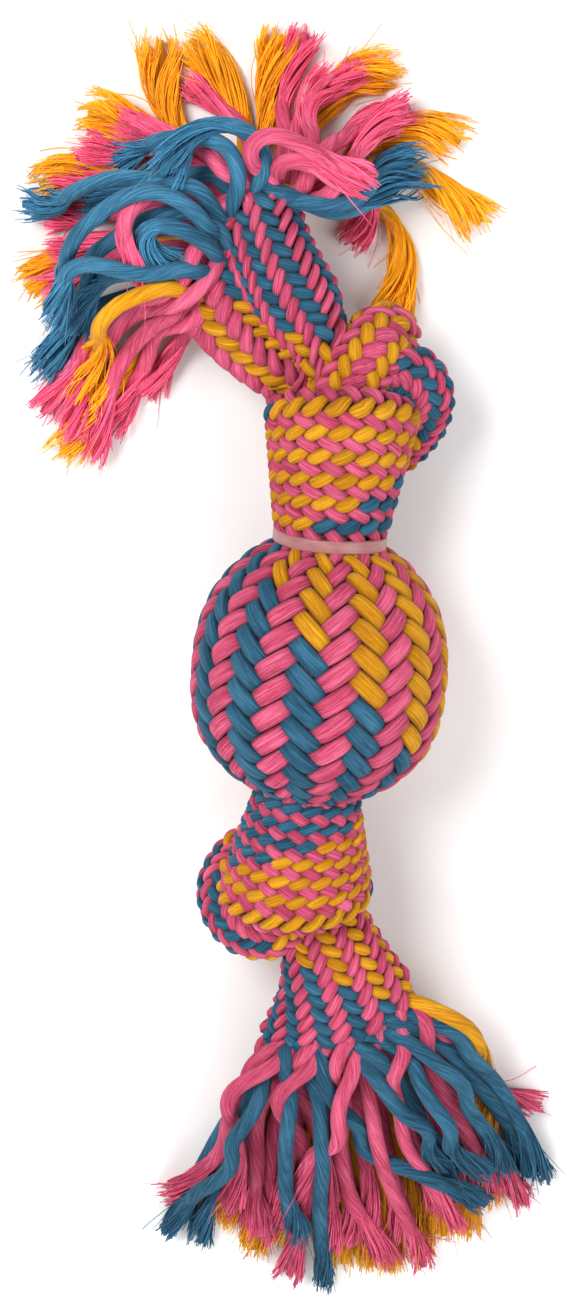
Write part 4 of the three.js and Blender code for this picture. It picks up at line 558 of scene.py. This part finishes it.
def collar_surface(top, bottom, r_top, r_bottom, wall_top, wall_bottom, rows, base, tilt, turns, pitch, twist_top, twist_bottom, lift, slant, ahead):
    """Middle of a rolled braid wall: a tapered ring with round rims, whose columns run round it."""
    rim = 0.5 * wall_top, 0.5 * wall_bottom
    outer, inner = [], []
    for a in np.linspace(0, 90, 9):
        a = math.radians(a)
        outer.append((r_top - rim[0] + rim[0] * math.sin(a), top - rim[0] + rim[0] * math.cos(a)))
        inner.append((r_top - rim[0] - rim[0] * math.sin(a), top - rim[0] + rim[0] * math.cos(a)))
    for a in np.linspace(0, 90, 9):
        a = math.radians(a)
        outer.append((r_bottom - rim[1] + rim[1] * math.cos(a), bottom + rim[1] - rim[1] * math.sin(a)))
        inner.append((r_bottom - rim[1] - rim[1] * math.cos(a), bottom + rim[1] - rim[1] * math.sin(a)))
    outer, inner = np.array(outer), np.array(inner[::-1])
    so, si = along(outer), along(inner)
    c, d = math.cos(math.radians(tilt)), math.sin(math.radians(tilt))

    def S(u, N):
        w = np.mod(u + ahead, 24.0)
        front = w <= rows
        f = np.clip(w / rows, 0, 1) * so[-1]
        g = np.clip((w - rows) / (24.0 - rows), 0, 1) * si[-1]
        r = np.where(front, np.interp(f, so, outer[:, 0]), np.interp(g, si, inner[:, 0]))
        y = np.where(front, np.interp(f, so, outer[:, 1]), np.interp(g, si, inner[:, 1]))
        k = (y - bottom) / (top - bottom)
        a = 2 * np.pi * N / turns
        rr = np.where(front, r, np.interp(y, outer[::-1, 1], outer[::-1, 0]))
        spread = pitch * turns / (2 * np.pi * (rr + 2.4)) - 1
        psi = np.radians(twist_bottom + (twist_top - twist_bottom) * k) + a + spread * np.sin(a)
        x, z = r * np.sin(psi), r * np.cos(psi)
        y = y + (lift[1] + (lift[0] - lift[1]) * np.clip(k, 0, 1)) * z + (slant[1] + (slant[0] - slant[1]) * np.clip(k, 0, 1)) * x
        return np.stack([base[0] + c * x - d * y, base[1] + d * x + c * y, z + BALL_Z], -1)
    return S


def crown_surface(path, half, columns, pitch):
    """Middle of the braid wall along one loop of flattened rope."""
    line = spline(path, 160)
    s = along(line)
    tangent = unit(np.gradient(line, axis=0))
    hub = np.asarray(path, float).mean(0)
    out = unit(line - hub)
    face = unit(np.cross(tangent, np.array([0.0, 0.0, 1.0])))
    front = unit(np.cross(face, tangent))
    front = np.where(front[:, 2:3] < 0, -front, front)
    smooth = lambda a: unit(np.stack([np.convolve(np.pad(a[:, k], 12, "edge"), np.ones(25) / 25, "valid") for k in range(3)], 1))
    front = smooth(front)
    side = unit(np.cross(tangent, front))

    def S(u, N):
        t = N * pitch
        pick = lambda a: np.stack([np.interp(t, s, a[:, k]) for k in range(3)], -1)
        ang = 2 * np.pi * u / columns
        x, y = np.sin(ang), np.cos(ang)
        x, y = np.sign(x) * np.abs(x) ** 0.85, np.sign(y) * np.abs(y) ** 0.85
        return pick(line) + pick(side) * (x * half[0])[..., None] + pick(front) * (y * half[1])[..., None]
    return S, s[-1] / pitch


def cubic(a, i, t):
    """Catmull-Rom between rows i+1 and i+2 of a."""
    p0, p1, p2, p3 = a[i], a[i + 1], a[i + 2], a[i + 3]
    return 0.5 * (2 * p1 + (p2 - p0) * t + (2 * p0 - 5 * p1 + 4 * p2 - p3) * t * t + (3 * p1 - p0 - 3 * p2 + p3) * t ** 3)


def tail_surface(first, rows, depth):
    """Middle of the braid wall of a flat tail, from a net of points on its front wall: a row every two picks, seven across."""
    net = np.array(rows, float)
    net = np.concatenate([2 * net[:1] - net[1:2], net, 2 * net[-1:] - net[-2:-1]], 0)
    net = np.concatenate([2 * net[:, :1] - net[:, 1:2], net, 2 * net[:, -1:] - net[:, -2:-1]], 1)
    count = len(rows)

    def F(x, N):
        p = (N - first) / 2.0
        q = (x + 1) * 3.0
        i, j = np.clip(np.floor(p).astype(int), 0, count - 2), np.clip(np.floor(q).astype(int), 0, 5)
        t, w = (p - i)[..., None], (q - j)[..., None]
        across = [cubic([net[i + k, j + m] for m in range(4)], 0, w) for k in range(4)]
        return cubic(across, 0, t)

    def S(u, N):
        w = np.mod(u + 6.0, 24.0)
        x = np.where(w <= 12, w / 6.0 - 1, 3.0 - w / 6.0)
        side = np.where(w <= 12, 1.0, -1.0)
        h = 0.03
        xc = np.clip(x, -0.6, 0.6)
        m = unit(np.cross(F(xc + h, N) - F(xc - h, N), F(xc, N + h) - F(xc, N - h)))
        m = np.where(m[..., 2:3] < 0, -m, m)
        y = np.where(side > 0, 0.0, -2 * np.sqrt(np.clip(1 - np.abs(x) ** 4.0, 0, 1)))
        thick = np.interp(N, depth[0], depth[1])
        return F(x, N) + m * (y * thick)[..., None]
    return S


UPPER_NET = [
    [(-3, 62, 29), (-0.5, 62.5, 33.5), (1.5, 63, 32.5), (3.5, 63.5, 33.5), (5.5, 64, 34.5), (7.5, 64.5, 33.5), (9, 65, 29)],
    [(-8.6, 65.6, 28), (-3.6, 69.6, 33), (-2.2, 71.4, 30.5), (-1, 73, 32), (1.6, 75.2, 34.5), (5.2, 77.5, 34.5), (8.6, 78.4, 29)],
    [(-10.4, 71.5, 27), (-5.3, 76.8, 32.6), (-4.7, 79.7, 30.8), (-4.5, 82.3, 31.7), (-1.3, 86.4, 34.4), (2.9, 90.5, 34.6), (3.1, 90.8, 29.4)],
    [(-17.6, 76.3, 26.6), (-12.9, 82, 32.6), (-11.6, 85.4, 30.5), (-10, 88.4, 31.5), (-5.4, 92.7, 34.4), (0.2, 97.1, 34.6), (1.9, 98.1, 29.4)],
    [(-25.4, 82.5, 26.2), (-19.3, 88.2, 32.3), (-16.3, 91.7, 30.1), (-13.6, 95.1, 31.2), (-8.7, 99.4, 34.1), (-3.3, 103.5, 34.3), (-1.8, 104.5, 29.1)],
    [(-33, 91.3, 25.2), (-24.6, 95.4, 31.3), (-19.7, 98.7, 29.1), (-16.3, 102.3, 30.2), (-11.7, 106.7, 33.1), (-7, 110.3, 33.3), (-5, 110.8, 28.1)],
    [(-39, 103.3, 23.6), (-29, 104.2, 29.7), (-22.5, 106.5, 27.5), (-18.7, 110.2, 28.6), (-14.5, 114.5, 31.5), (-10.1, 117.8, 31.7), (-7.2, 117.8, 26.5)],
    [(-43.3, 118.3, 22.5), (-32.6, 114.8, 28.6), (-25.6, 115.3, 26.4), (-21.9, 118.8, 27.5), (-17.7, 123.2, 30.4), (-11.8, 126.4, 30.6), (-5.5, 126.2, 25.4)],
]
LOWER_NET = [
    [(-22, -112, 14), (-12.5, -111, 21), (-1.2, -110.5, 26), (9, -108.5, 28.5), (18.5, -106, 28.3), (28, -101.5, 26), (37, -96, 20)],
    [(-16.1, -103.7, 18.9), (-10, -103.4, 23.5), (-1.6, -102.2, 28.5), (7.4, -100.7, 31), (16.1, -98.2, 30.8), (23.6, -94.3, 28.3), (28.3, -90.3, 23.7)],
    [(-11.5, -96.6, 21.3), (-8.4, -96, 25.9), (-2.2, -94.4, 30.9), (5.7, -92.4, 33.4), (13.6, -89.8, 33.2), (19.6, -86.3, 30.7), (22, -83.1, 26.1)],
    [(-7.7, -88.8, 23), (-7.1, -88.4, 27.6), (-3.1, -86.8, 32.6), (3.7, -84.5, 35.1), (10.8, -81.7, 34.9), (15.6, -78.3, 32.4), (16.2, -75.7, 27.8)],
    [(-5.7, -80.8, 23.8), (-6.3, -80.8, 28.4), (-4.3, -79.3, 33.4), (1.4, -77, 35.9), (7.9, -73.9, 35.7), (11.7, -70.5, 33.2), (11.5, -68.2, 28.6)],
    [(-5.5, -72.8, 23.9), (-5.9, -72.8, 28.5), (-5.2, -71.6, 33.5), (-1.3, -69.8, 36), (4.7, -66.5, 35.8), (7.9, -62.7, 33.3), (7.3, -60.4, 28.7)],
    [(-9.5, -66, 24), (-7.5, -65, 29.5), (-5.5, -63.8, 33), (-2.5, -62.3, 35), (1.5, -60.3, 34.5), (5, -57.8, 32), (7.5, -55.8, 27.5)],
    [(-10, -58, 26), (-8, -57.5, 30), (-6, -57, 33), (-3.5, -56.3, 34), (-1, -55.5, 33.5), (1.5, -54.8, 31), (3.5, -54, 28)],
]
# where the strands leave the braid: column from the left edge round the front and the back, and pick
TAIL = {
    "upper": dict(S=tail_surface(-11, UPPER_NET, ((-11, -6, 3), (2.8, 3.6, 4.6))), n_base=-10.75, n_end=3.2,
                  fell=((0, 1, 2, 3, 4, 5, 7, 9, 11, 13, 15, 18, 21, 23, 24), (0.2, 0.3, 0.5, 1.2, 2.0, 2.6, 2.95, 2.85, 2.6, 2.3, 2.0, 1.7, 1.2, 0.6, 0.2)),
                  fill=lambda u: 1.36 + 0.22 * np.clip((-2.0 - u) / 1.5, 0, 1) * np.clip((u + 7.0) / 1.5, 0, 1),
                  colour=lambda j: "b" if (j + 4) % 24 <= 10 else "y"),
    "lower": dict(S=tail_surface(-2, LOWER_NET, ((0, 6, 12), (4.6, 3.6, 2.8))), n_base=11.75, n_end=-1.5,
                  fell=((0, 3, 5, 7, 9, 11, 12, 14, 18, 22, 24), (0.6, 0.5, 0.4, 0.3, 0.8, 1.3, 1.5, 1.0, 0.2, 0.3, 0.6)),
                  fill=1.38, colour=lambda j: "b" if (j + 6) % 24 <= 11 else "y"),
}
SHORT = 0.55   # picks of each tail strand that belong to its loose end


def fell_pick(end, pink, index):
    """The pick at which a strand reaches the fell."""
    t = TAIL[end]
    N = np.linspace(t["n_base"], t["n_end"], 600)
    u = index + 0.5 + N if pink else index - N
    past = (N - np.interp(np.mod(u + 6.0, 24.0), *t["fell"])) * np.sign(t["n_end"] - t["n_base"]) >= 0
    return float(N[np.argmax(past)]) if past.any() else t["n_end"]


def tail_strand(end, pink, index, whole):
    """One strand of a tail from the knot to the fell; whole=False gives only its last stretch at the fell."""
    t = TAIL[end]
    a, b = t["n_base"], fell_pick(end, pink, index)
    way = 1 if b > a else -1
    if whole:
        n0, n1 = a - 0.2 * way, b - SHORT * way + 0.12 * way
    else:
        n0, n1 = b - SHORT * way, b + 0.02 * way
    low, high = min(n0, n1), max(n0, n1)
    made = weave(t["S"], pink, index, low, high, 8.4, 2.4, 3.3, fill=(t["fill"], 1.16), lean=(-0.10, 0.04), dive=(0.18, 0.24), bias=-0.05, sharp=1.9, dome=0.26, step=0.7)
    return [a[::-1] for a in made] if way < 0 else made


def lane_strand(row, lane):
    """The weave strand that a loose end grows from: rows 3 and 2 are the front wall, 1 and 0 the back wall."""
    if row == 3:
        return False, -5 + lane
    if row == 2:
        return True, -6 + lane
    if row == 1:
        return True, 6 + (11 - lane)
    return False, 7 + (11 - lane)


# ------------------------------------------------------------------ loose strands and their frayed ends

STRAND_R = 2.1
TRIM = {("lower", "y"): 5}   # points, one a millimetre
# painted light: frayed fibres are brightened to make up for the shade they cast on each other, the upper ends much
# more than the lower ones because they are lit more
FRAY_PAINTED_LIGHT = {"upper": {"p": 2.05, "b": 2.70, "y": 2.10}, "lower": {"p": 1.30, "b": 1.20, "y": 1.35}}
FAN = {"upper": {"p": 5.8, "b": 6.4, "y": 7.0}, "lower": {"p": 5.0, "b": 4.8, "y": 5.4}}
# painted light: the upper loose strands are brightened over their first 25 mm because that end is lit more; the lower
# ones are left as they are
STRAND_PAINTED_LIGHT = {"upper": {"p": 1.30, "b": 1.60, "y": 1.40}, "lower": {"p": 1.0, "b": 1.0, "y": 1.0}}
FRAY = {"upper": {"p": (16.0, 22.0), "b": (19.0, 26.0), "y": (24.0, 34.0)}, "lower": {"p": (15.0, 21.0), "b": (15.0, 21.0), "y": (24.0, 34.0)}}


def transported(P, first):
    """Normals carried along a path without twisting."""
    T = unit(np.gradient(P, axis=0))
    out = np.empty_like(P)
    n = first - (first @ T[0]) * T[0]
    for i, t in enumerate(T):
        n = n - (n @ t) * t
        n = n / max(np.linalg.norm(n), 1e-9)
        out[i] = n
    return out


def tight_places(line, spacing, least):
    """Points of a path near which a circle through three points a spacing apart is smaller than the least radius."""
    s = along(line)
    back, on = np.clip(s - spacing, 0, s[-1]), np.clip(s + spacing, 0, s[-1])
    pick = lambda t: np.stack([np.interp(t, s, line[:, k]) for k in range(3)], 1)
    a, c = pick(back), pick(on)
    sides = np.linalg.norm(line - a, axis=1) * np.linalg.norm(c - line, axis=1) * np.linalg.norm(c - a, axis=1)
    area = np.maximum(2 * np.linalg.norm(np.cross(line - a, c - a), axis=1), 1e-9)
    folded = ((line - a) * (c - line)).sum(1) < 0
    near = (s > 1.5) & (s < s[-1] - 1.5)
    return ((sides / area < least) | folded) & near


def route(text):
    return np.array([[float(c) * 0.1 for c in p.split(",")] for p in text.split()])


def loose_path(end, row, lane, colour, text, eased):
    pts = route(text)
    pink, index = lane_strand(row, lane)
    P0, n0, hw0, ht0, shade0 = tail_strand(end, pink, index, False)
    near = np.linalg.norm(pts - P0[-1], axis=1)
    from_here = pts[1 + int(np.argmin(near[:6])):]
    keep = [p for p in from_here if np.linalg.norm(p - P0[-1]) > 5.0]
    knots = np.concatenate([P0[[0, -1]], keep])
    line = spline(knots, max(30, int(round(along(knots)[-1] / 1.0))))
    calm = np.ones(len(line), bool)
    for turn in range(90 if eased else 1):
        if turn:
            bad = tight_places(line, 8.0, 9.0) | tight_places(line, 4.0, 6.5)
            if not bad.any():
                break
            calm = np.convolve(bad, np.ones(13 if turn < 10 else 31), "same") > 0
        calm[:2], calm[-1] = False, False
        for again in range(14):
            moved = line.copy()
            moved[1:-1] = 0.25 * line[:-2] + 0.5 * line[1:-1] + 0.25 * line[2:]
            line = np.where(calm[:, None], moved, line)
    line[:, 2] = np.maximum(line[:, 2], STRAND_R + 0.1)
    line = resample(line, 1.0)[0]
    cut = TRIM.get((end, colour), 0)
    line = line[:len(line) - cut] if len(line) > 45 + cut else line
    normals = transported(line, n0[0])
    s = along(line)
    grow = np.clip(s / 9.0, 0, 1)
    grow = grow * grow * (3 - 2 * grow)
    hw = np.interp(s, along(P0), hw0) * (1 - grow) + STRAND_R * grow
    ht = np.interp(s, along(P0), ht0) * (1 - grow) + STRAND_R * grow
    # the braid's painted shade fades out over the first 9 mm of the loose strand
    shade = np.interp(s, along(P0), shade0) * (1 - grow) + grow
    return line, normals, hw, ht, shade


def fray(line, normals, start, colour, yarns, rng, fray_painted_light, widest):
    """The combed-out end of one strand: locks of fine fibres that leave it from start onwards and fan into a brush."""
    s = along(line)
    total = s[-1]
    locks, each, n = (34, 6, 13) if colour == "y" else (28, 5, 11)
    lock = np.repeat(np.arange(locks), each)
    count = locks * each
    length = ((total - start) * rng.uniform(0.84, 1.08, locks))[lock] * rng.uniform(0.90, 1.04, count)
    t = np.linspace(0, 1, n)[None, :]
    at = start - 1.5 + (length[:, None] + 1.5) * t
    pick = lambda a, k: np.interp(np.minimum(at, total), s, a[:, k])
    centre = np.stack([pick(line, k) for k in range(3)], -1)
    tip = unit(line[-1] - line[-4])
    centre = centre + tip * np.maximum(at - total, 0)[..., None]
    N = np.stack([pick(normals, k) for k in range(3)], -1)
    T = unit(np.gradient(centre, axis=1))
    N = unit(N - (N * T).sum(-1, keepdims=True) * T)
    B = np.cross(T, N)
    yellow = colour == "y"
    ang = rng.uniform(0, 2 * np.pi, locks)[lock]
    rad = np.sqrt(rng.uniform(0.02, 1.0, locks))[lock]
    fan = rng.uniform(0.72, 1.0) * widest
    far = np.clip((at - start) / max(total - start, 1), 0, 1.15)
    spread = STRAND_R * 0.84 + (fan - STRAND_R) * far ** 1.25
    sway = 0.75 if yellow else 0.40
    wave = lambda: (rng.normal(0, sway, (locks, 1)) * np.sin(t * rng.uniform(2.0, 8.0, (locks, 1)) + rng.uniform(0, 6.3, (locks, 1))) * t)[lock]
    turn = ang[:, None] - at * 0.09
    off = spread * rad[:, None]
    loose = 0.30 + (0.55 if yellow else 0.38) * far ** 1.4
    own, part = rng.uniform(0, 2 * np.pi, (count, 1)), np.sqrt(rng.uniform(0.05, 1, (count, 1)))
    curl = rng.normal(0, 0.9, (count, 1)) * t
    P = (centre + B * (off * np.cos(turn) + wave() + loose * part * np.cos(own + curl))[..., None]
         + N * (off * np.sin(turn) + wave() + loose * part * np.sin(own + curl))[..., None])
    stray = rng.uniform(0, 1, count) < (0.07 if yellow else 0.045)
    P = P + rng.normal(0, 3.0, (count, 1, 3)) * stray[:, None, None] * (t[..., None] ** 2)
    r = rng.uniform(0.18, 0.26, count)[:, None] * (1 - 0.40 * t ** 2) * np.where(stray, 0.65, 1.0)[:, None]
    P[..., 2] = np.maximum(P[..., 2], r + 0.12)
    # fibre colour factor: painted light per end and colour, a random level per lock, and tips up to 16% lighter,
    # partly paler bleached fibre and partly painted light for light scattering through the thin tips
    tone = fray_painted_light * rng.uniform(0.84, 1.12, locks)[lock][:, None] * (1 + 0.16 * t)
    yarns.add(P, N, r, r, ring=3, tone=tone)


# The forty longest strands are cords of their own, with no bend tighter than two diameters.
REACH = [along(route(strand[5]))[-1] for strand in STRANDS]
CORDS = set(sorted(range(len(STRANDS)), key=lambda k: -REACH[k])[:40])
UP_STRANDS, FREE, GROUP = {}, [], {}
for k, (end, row, lane, colour, pair, text) in enumerate(STRANDS):
    line, normals, hw, ht, shade = loose_path(end, row, lane, colour, text, k in CORDS)
    FREE.append(dict(end=end, row=row, lane=lane, colour=colour, pair=pair, line=line, normals=normals, hw=hw, ht=ht, shade=shade,
                     length=along(line)[-1]))

NUMBER = {}
for k, f in enumerate(FREE):
    rng = np.random.default_rng(7000 + k)
    lo, hi = FRAY[f["end"]][f["colour"]]
    share = 0.62 if f["colour"] == "y" else 0.45
    start = f["length"] - min(rng.uniform(lo, hi), share * f["length"])
    s = along(f["line"])
    thin = np.clip((s - start) / (f["length"] - start), 0, 1)
    slim = 1 - 0.55 * thin ** 0.8
    # strand colour factor: a random dye level, painted light rising over the first 25 mm, and the painted shade
    # carried on from the braid
    f["tone"] = (1.0 + rng.normal(0, 0.05)) * (1 + (STRAND_PAINTED_LIGHT[f["end"]][f["colour"]] - 1) * np.clip(s / 25.0, 0, 1)) * f["shade"]
    if k in CORDS:
        tube, brush = Yarns(), Yarns()
    else:
        tube, brush = GROUP.setdefault((f["end"], f["colour"], "front" if f["row"] >= 2 else "back"), (Yarns(), Yarns()))
    tube.add(f["line"], f["normals"], f["hw"] * slim, f["ht"] * slim, ring=20, lobes=7, lobe=0.016, twist=0.13, tone=f["tone"][None])
    fray(f["line"], f["normals"], start, f["colour"], brush, rng, FRAY_PAINTED_LIGHT[f["end"]][f["colour"]], FAN[f["end"]][f["colour"]])
    body = f["end"] + "_tail"
    node_name = "%s_strand_pair_%02d" % (f["end"], f["pair"])
    if k in CORDS:
        word = f["end"] + "_" + WORD[f["colour"]]
        NUMBER[word] = NUMBER.get(word, 0) + 1
        name = "%s_strand_%02d" % (word, NUMBER[word])
        piece = yarn_piece(tube, name, f["colour"], 0.1)
        ends = yarn_piece(brush, name + "_frayed_end", f["colour"], 0.05)
        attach(piece, body)
        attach(ends, body)
        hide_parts(node_name)
    else:
        UP_STRANDS.setdefault((f["end"], f["colour"], "front" if f["row"] >= 2 else "back"), set()).add(node_name)
for (end, colour, side), (tube, brush) in GROUP.items():
    piece = yarn_piece(tube, "%s_%s_%s_short_strands" % (end, side, WORD[colour]), colour, 0.1)
    ends = yarn_piece(brush, "%s_%s_%s_short_frayed_ends" % (end, side, WORD[colour]), colour, 0.05)
    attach(piece, end + "_tail")
    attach(ends, end + "_tail")
    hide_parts(*sorted(UP_STRANDS[(end, colour, side)]))

# ------------------------------------------------------------------ braided body


def pieces_of(parts, stem, lowest=None):
    return {c: yarn_piece(y, "%s_%s" % (stem, WORD[c]), c, lowest) for c, y in parts.items() if y.count}


def three():
    return {"p": Yarns(), "b": Yarns(), "y": Yarns()}


# ball cover and the necks, in two halves that meet under a float near the equator
S = ball_surface()
half = {"upper": three(), "lower": three()}
for pink in (True, False):
    for index in range(24):
        j = index if pink else index - 11
        colour = "p" if pink else ("y" if j >= 1 else "b")
        mids = [n for n in np.arange(-2.0, 2.0, 0.5)
                if abs(((j + 0.5 + n) if pink else (j - n - 1)) % 2 - 1) < 1e-6]
        cut = min(mids, key=lambda n: abs(n + 0.575))
        tone = strand_tone()
        for end, n0, n1 in (("lower", -7.4, cut + 0.03), ("upper", cut - 0.03, 6.3)):
            P, normal, hw, ht, shade = weave(S, pink, j, n0, n1, 9.8, 1.8, 2.8, fill=(1.01, 1.01), dive=(0.10, 0.10), sharp=2.6, dome=0.12, step=0.8)
            half[end][colour].add(P, normal, hw, ht, ring=20, power=0.72, twist=0.008, tone=tone * shade[None], edge=0.42)
for end, sign in (("upper", 1), ("lower", -1)):
    made = pieces_of(half[end], end + "_ball_cover", 0.05)
    for c, obj in made.items():
        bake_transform(obj)
    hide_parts("ball_cover", end + "_neck")

# the rolled collars of the two knots
COLLAR = {
    "upper": dict(S=collar_surface(68.8, 37.9, 16.75, 11.9, 3.4, 3.0, 12.65, (-0.87, 0.0), -5.7, 17, 6.4, -8.0, 20.0, (0.33, 0.0), (0.07, 0.04), 0.15),
                  turns=17, fill=(1.25, 1.40), yellow=lambda j: (j + 2) % 24 <= 11),
    "lower": dict(S=collar_surface(-31.4, -58.6, 10.9, 17.0, 3.0, 3.4, 14.65, (1.23, 0.15), -7.4, 18, 5.65, 5.5, 0.0, (0.0, -0.27), (0.0, 0.12), 0.5),
                  turns=18, fill=(1.46, 1.60), yellow=lambda j: (j - 6) % 24 <= 11),
}
for end, spec in COLLAR.items():
    parts = three()
    turns = spec["turns"]
    for pink in (True, False):
        for j in range(24):
            colour = "p" if pink else ("y" if spec["yellow"](j) else "b")
            # start and end where the strand lies under, at the back of the ring
            low = -turns / 2.0
            cut = low + ((-(j + 0.5) + 1 - low) % 2 if pink else (j - low) % 2) - 1
            P, normal, hw, ht, shade = weave(spec["S"], pink, j, cut - 0.1, cut + turns + 1.1, 7.8, 2.2, 2.9, fill=spec["fill"], lean=(0.18, -0.04), dive=(0.14, 0.38), bias=0.06, sharp=1.9, dome=0.20, step=0.75)
            parts[colour].add(P, normal, hw, ht, ring=16, power=0.95, twist=0.03, tone=strand_tone() * shade[None], edge=0.45)
    made = pieces_of(parts, end + "_collar")
    for obj in made.values():
        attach(obj, end + "_knot")
    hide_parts(end + "_collar")

# the loops of rope that lie round the collars
CROWN = {
    "upper": [
        ([(4, 65, 33), (6.5, 72, 35.3), (10, 79, 35.3), (13.5, 84, 32.5), (16, 86, 27), (17.5, 84.5, 21.5)], (6.2, 4.0), 12, 3.6, lambda j: True),
        ([(9, 71, 29), (14.5, 76.5, 31), (20, 77, 30), (24.8, 72.5, 26.5), (24.8, 66.5, 22), (20.8, 60, 18), (14.8, 55.5, 15.3), (8.5, 53.5, 15), (3, 54, 18.5), (0.5, 56, 23)], (6.3, 4.0), 14, 3.1,
         lambda j: not 2 <= j <= 9),
    ],
    "lower": [
        ([(-6, -56, 31.5), (-7.5, -62.5, 32.7), (-11, -66.8, 32), (-17.5, -67.6, 29.5), (-22, -64.4, 25.8), (-23.4, -59.6, 21.5), (-20.5, -54.6, 17), (-15.5, -51.5, 14), (-9.5, -50, 12.8), (-3.5, -50.3, 15), (0.5, -52, 19.5)],
         (5.6, 4.0), 14, 3.0, lambda j: not 4 <= j <= 10),
    ],
}
for end, tubes in CROWN.items():
    parts = three()
    for path, half_size, columns, pitch, yellow in tubes:
        S, picks = crown_surface(path, half_size, columns, pitch)
        for pink in (True, False):
            for j in range(columns):
                colour = "p" if pink else ("y" if yellow(j) else "b")
                P, normal, hw, ht, shade = weave(S, pink, j, 0.0, picks, 7.6, 2.0, 2.8, fill=(1.48, 1.52), dive=(0.2, 0.26), sharp=1.9, dome=0.22, step=0.7)
                parts[colour].add(P, normal, hw, ht, ring=16, power=0.95, twist=0.03, tone=strand_tone() * shade[None], edge=0.45)
    made = pieces_of(parts, end + "_crown")
    for obj in made.values():
        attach(obj, end + "_knot")
    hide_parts(end + "_crown")

# the braided tails
for end in ("upper", "lower"):
    parts = three()
    for pink in (True, False):
        for k in range(24):
            j = (-6 if pink else -5) + k
            colour = "p" if pink else TAIL[end]["colour"](j)
            P, normal, hw, ht, shade = tail_strand(end, pink, j, True)
            parts[colour].add(P, normal, hw, ht, ring=16, power=1.0, twist=0.03, tone=strand_tone() * shade[None], edge=0.48)
    made = pieces_of(parts, end + "_tail_braid")
    for obj in made.values():
        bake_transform(obj)
    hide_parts(end + "_tail")

# ------------------------------------------------------------------ band and core


def ring_mesh(name, profile, base, tilt, count):
    prof = np.array(profile)
    a = 2 * np.pi * np.arange(count) / count
    c, d = math.cos(math.radians(tilt)), math.sin(math.radians(tilt))
    r, y = prof[:, 0][None, :], prof[:, 1][None, :] + 0.12 * np.sin(3 * a)[:, None]
    x, z = r * np.sin(a)[:, None], r * np.cos(a)[:, None]
    v = np.stack([base[0] + c * x - d * y, base[1] + d * x + c * y, z + BALL_Z], -1).reshape(-1, 3)
    m = len(prof)
    faces = [(i * m + k, ((i + 1) % count) * m + k, ((i + 1) % count) * m + (k + 1) % m, i * m + (k + 1) % m)
             for i in range(count) for k in range(m)]
    me = bpy.data.meshes.new(name)
    me.from_pydata([tuple(p) for p in v * MM], [], faces)
    me.update()
    me.shade_smooth()
    obj = bpy.data.objects.new(name, me)
    scene.collection.objects.link(obj)
    return obj


profile = []
for cr, cy, a0 in ((14.05, 36.75, 0), (13.15, 36.75, 90), (13.15, 34.45, 180), (14.05, 34.45, 270)):
    for a in np.linspace(a0, a0 + 90, 6):
        profile.append((cr + 0.5 * math.cos(math.radians(a)), cy + 0.5 * math.sin(math.radians(a))))
band = ring_mesh("clear_neck_band", profile, (-0.35, 0.0), -4.9, 128)
band.data.materials.append(clear_band())
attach(band, "upper_knot")
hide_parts("neck_band")

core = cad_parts["ball_core"]
core.data.materials.clear()
core.data.materials.append(rubber())
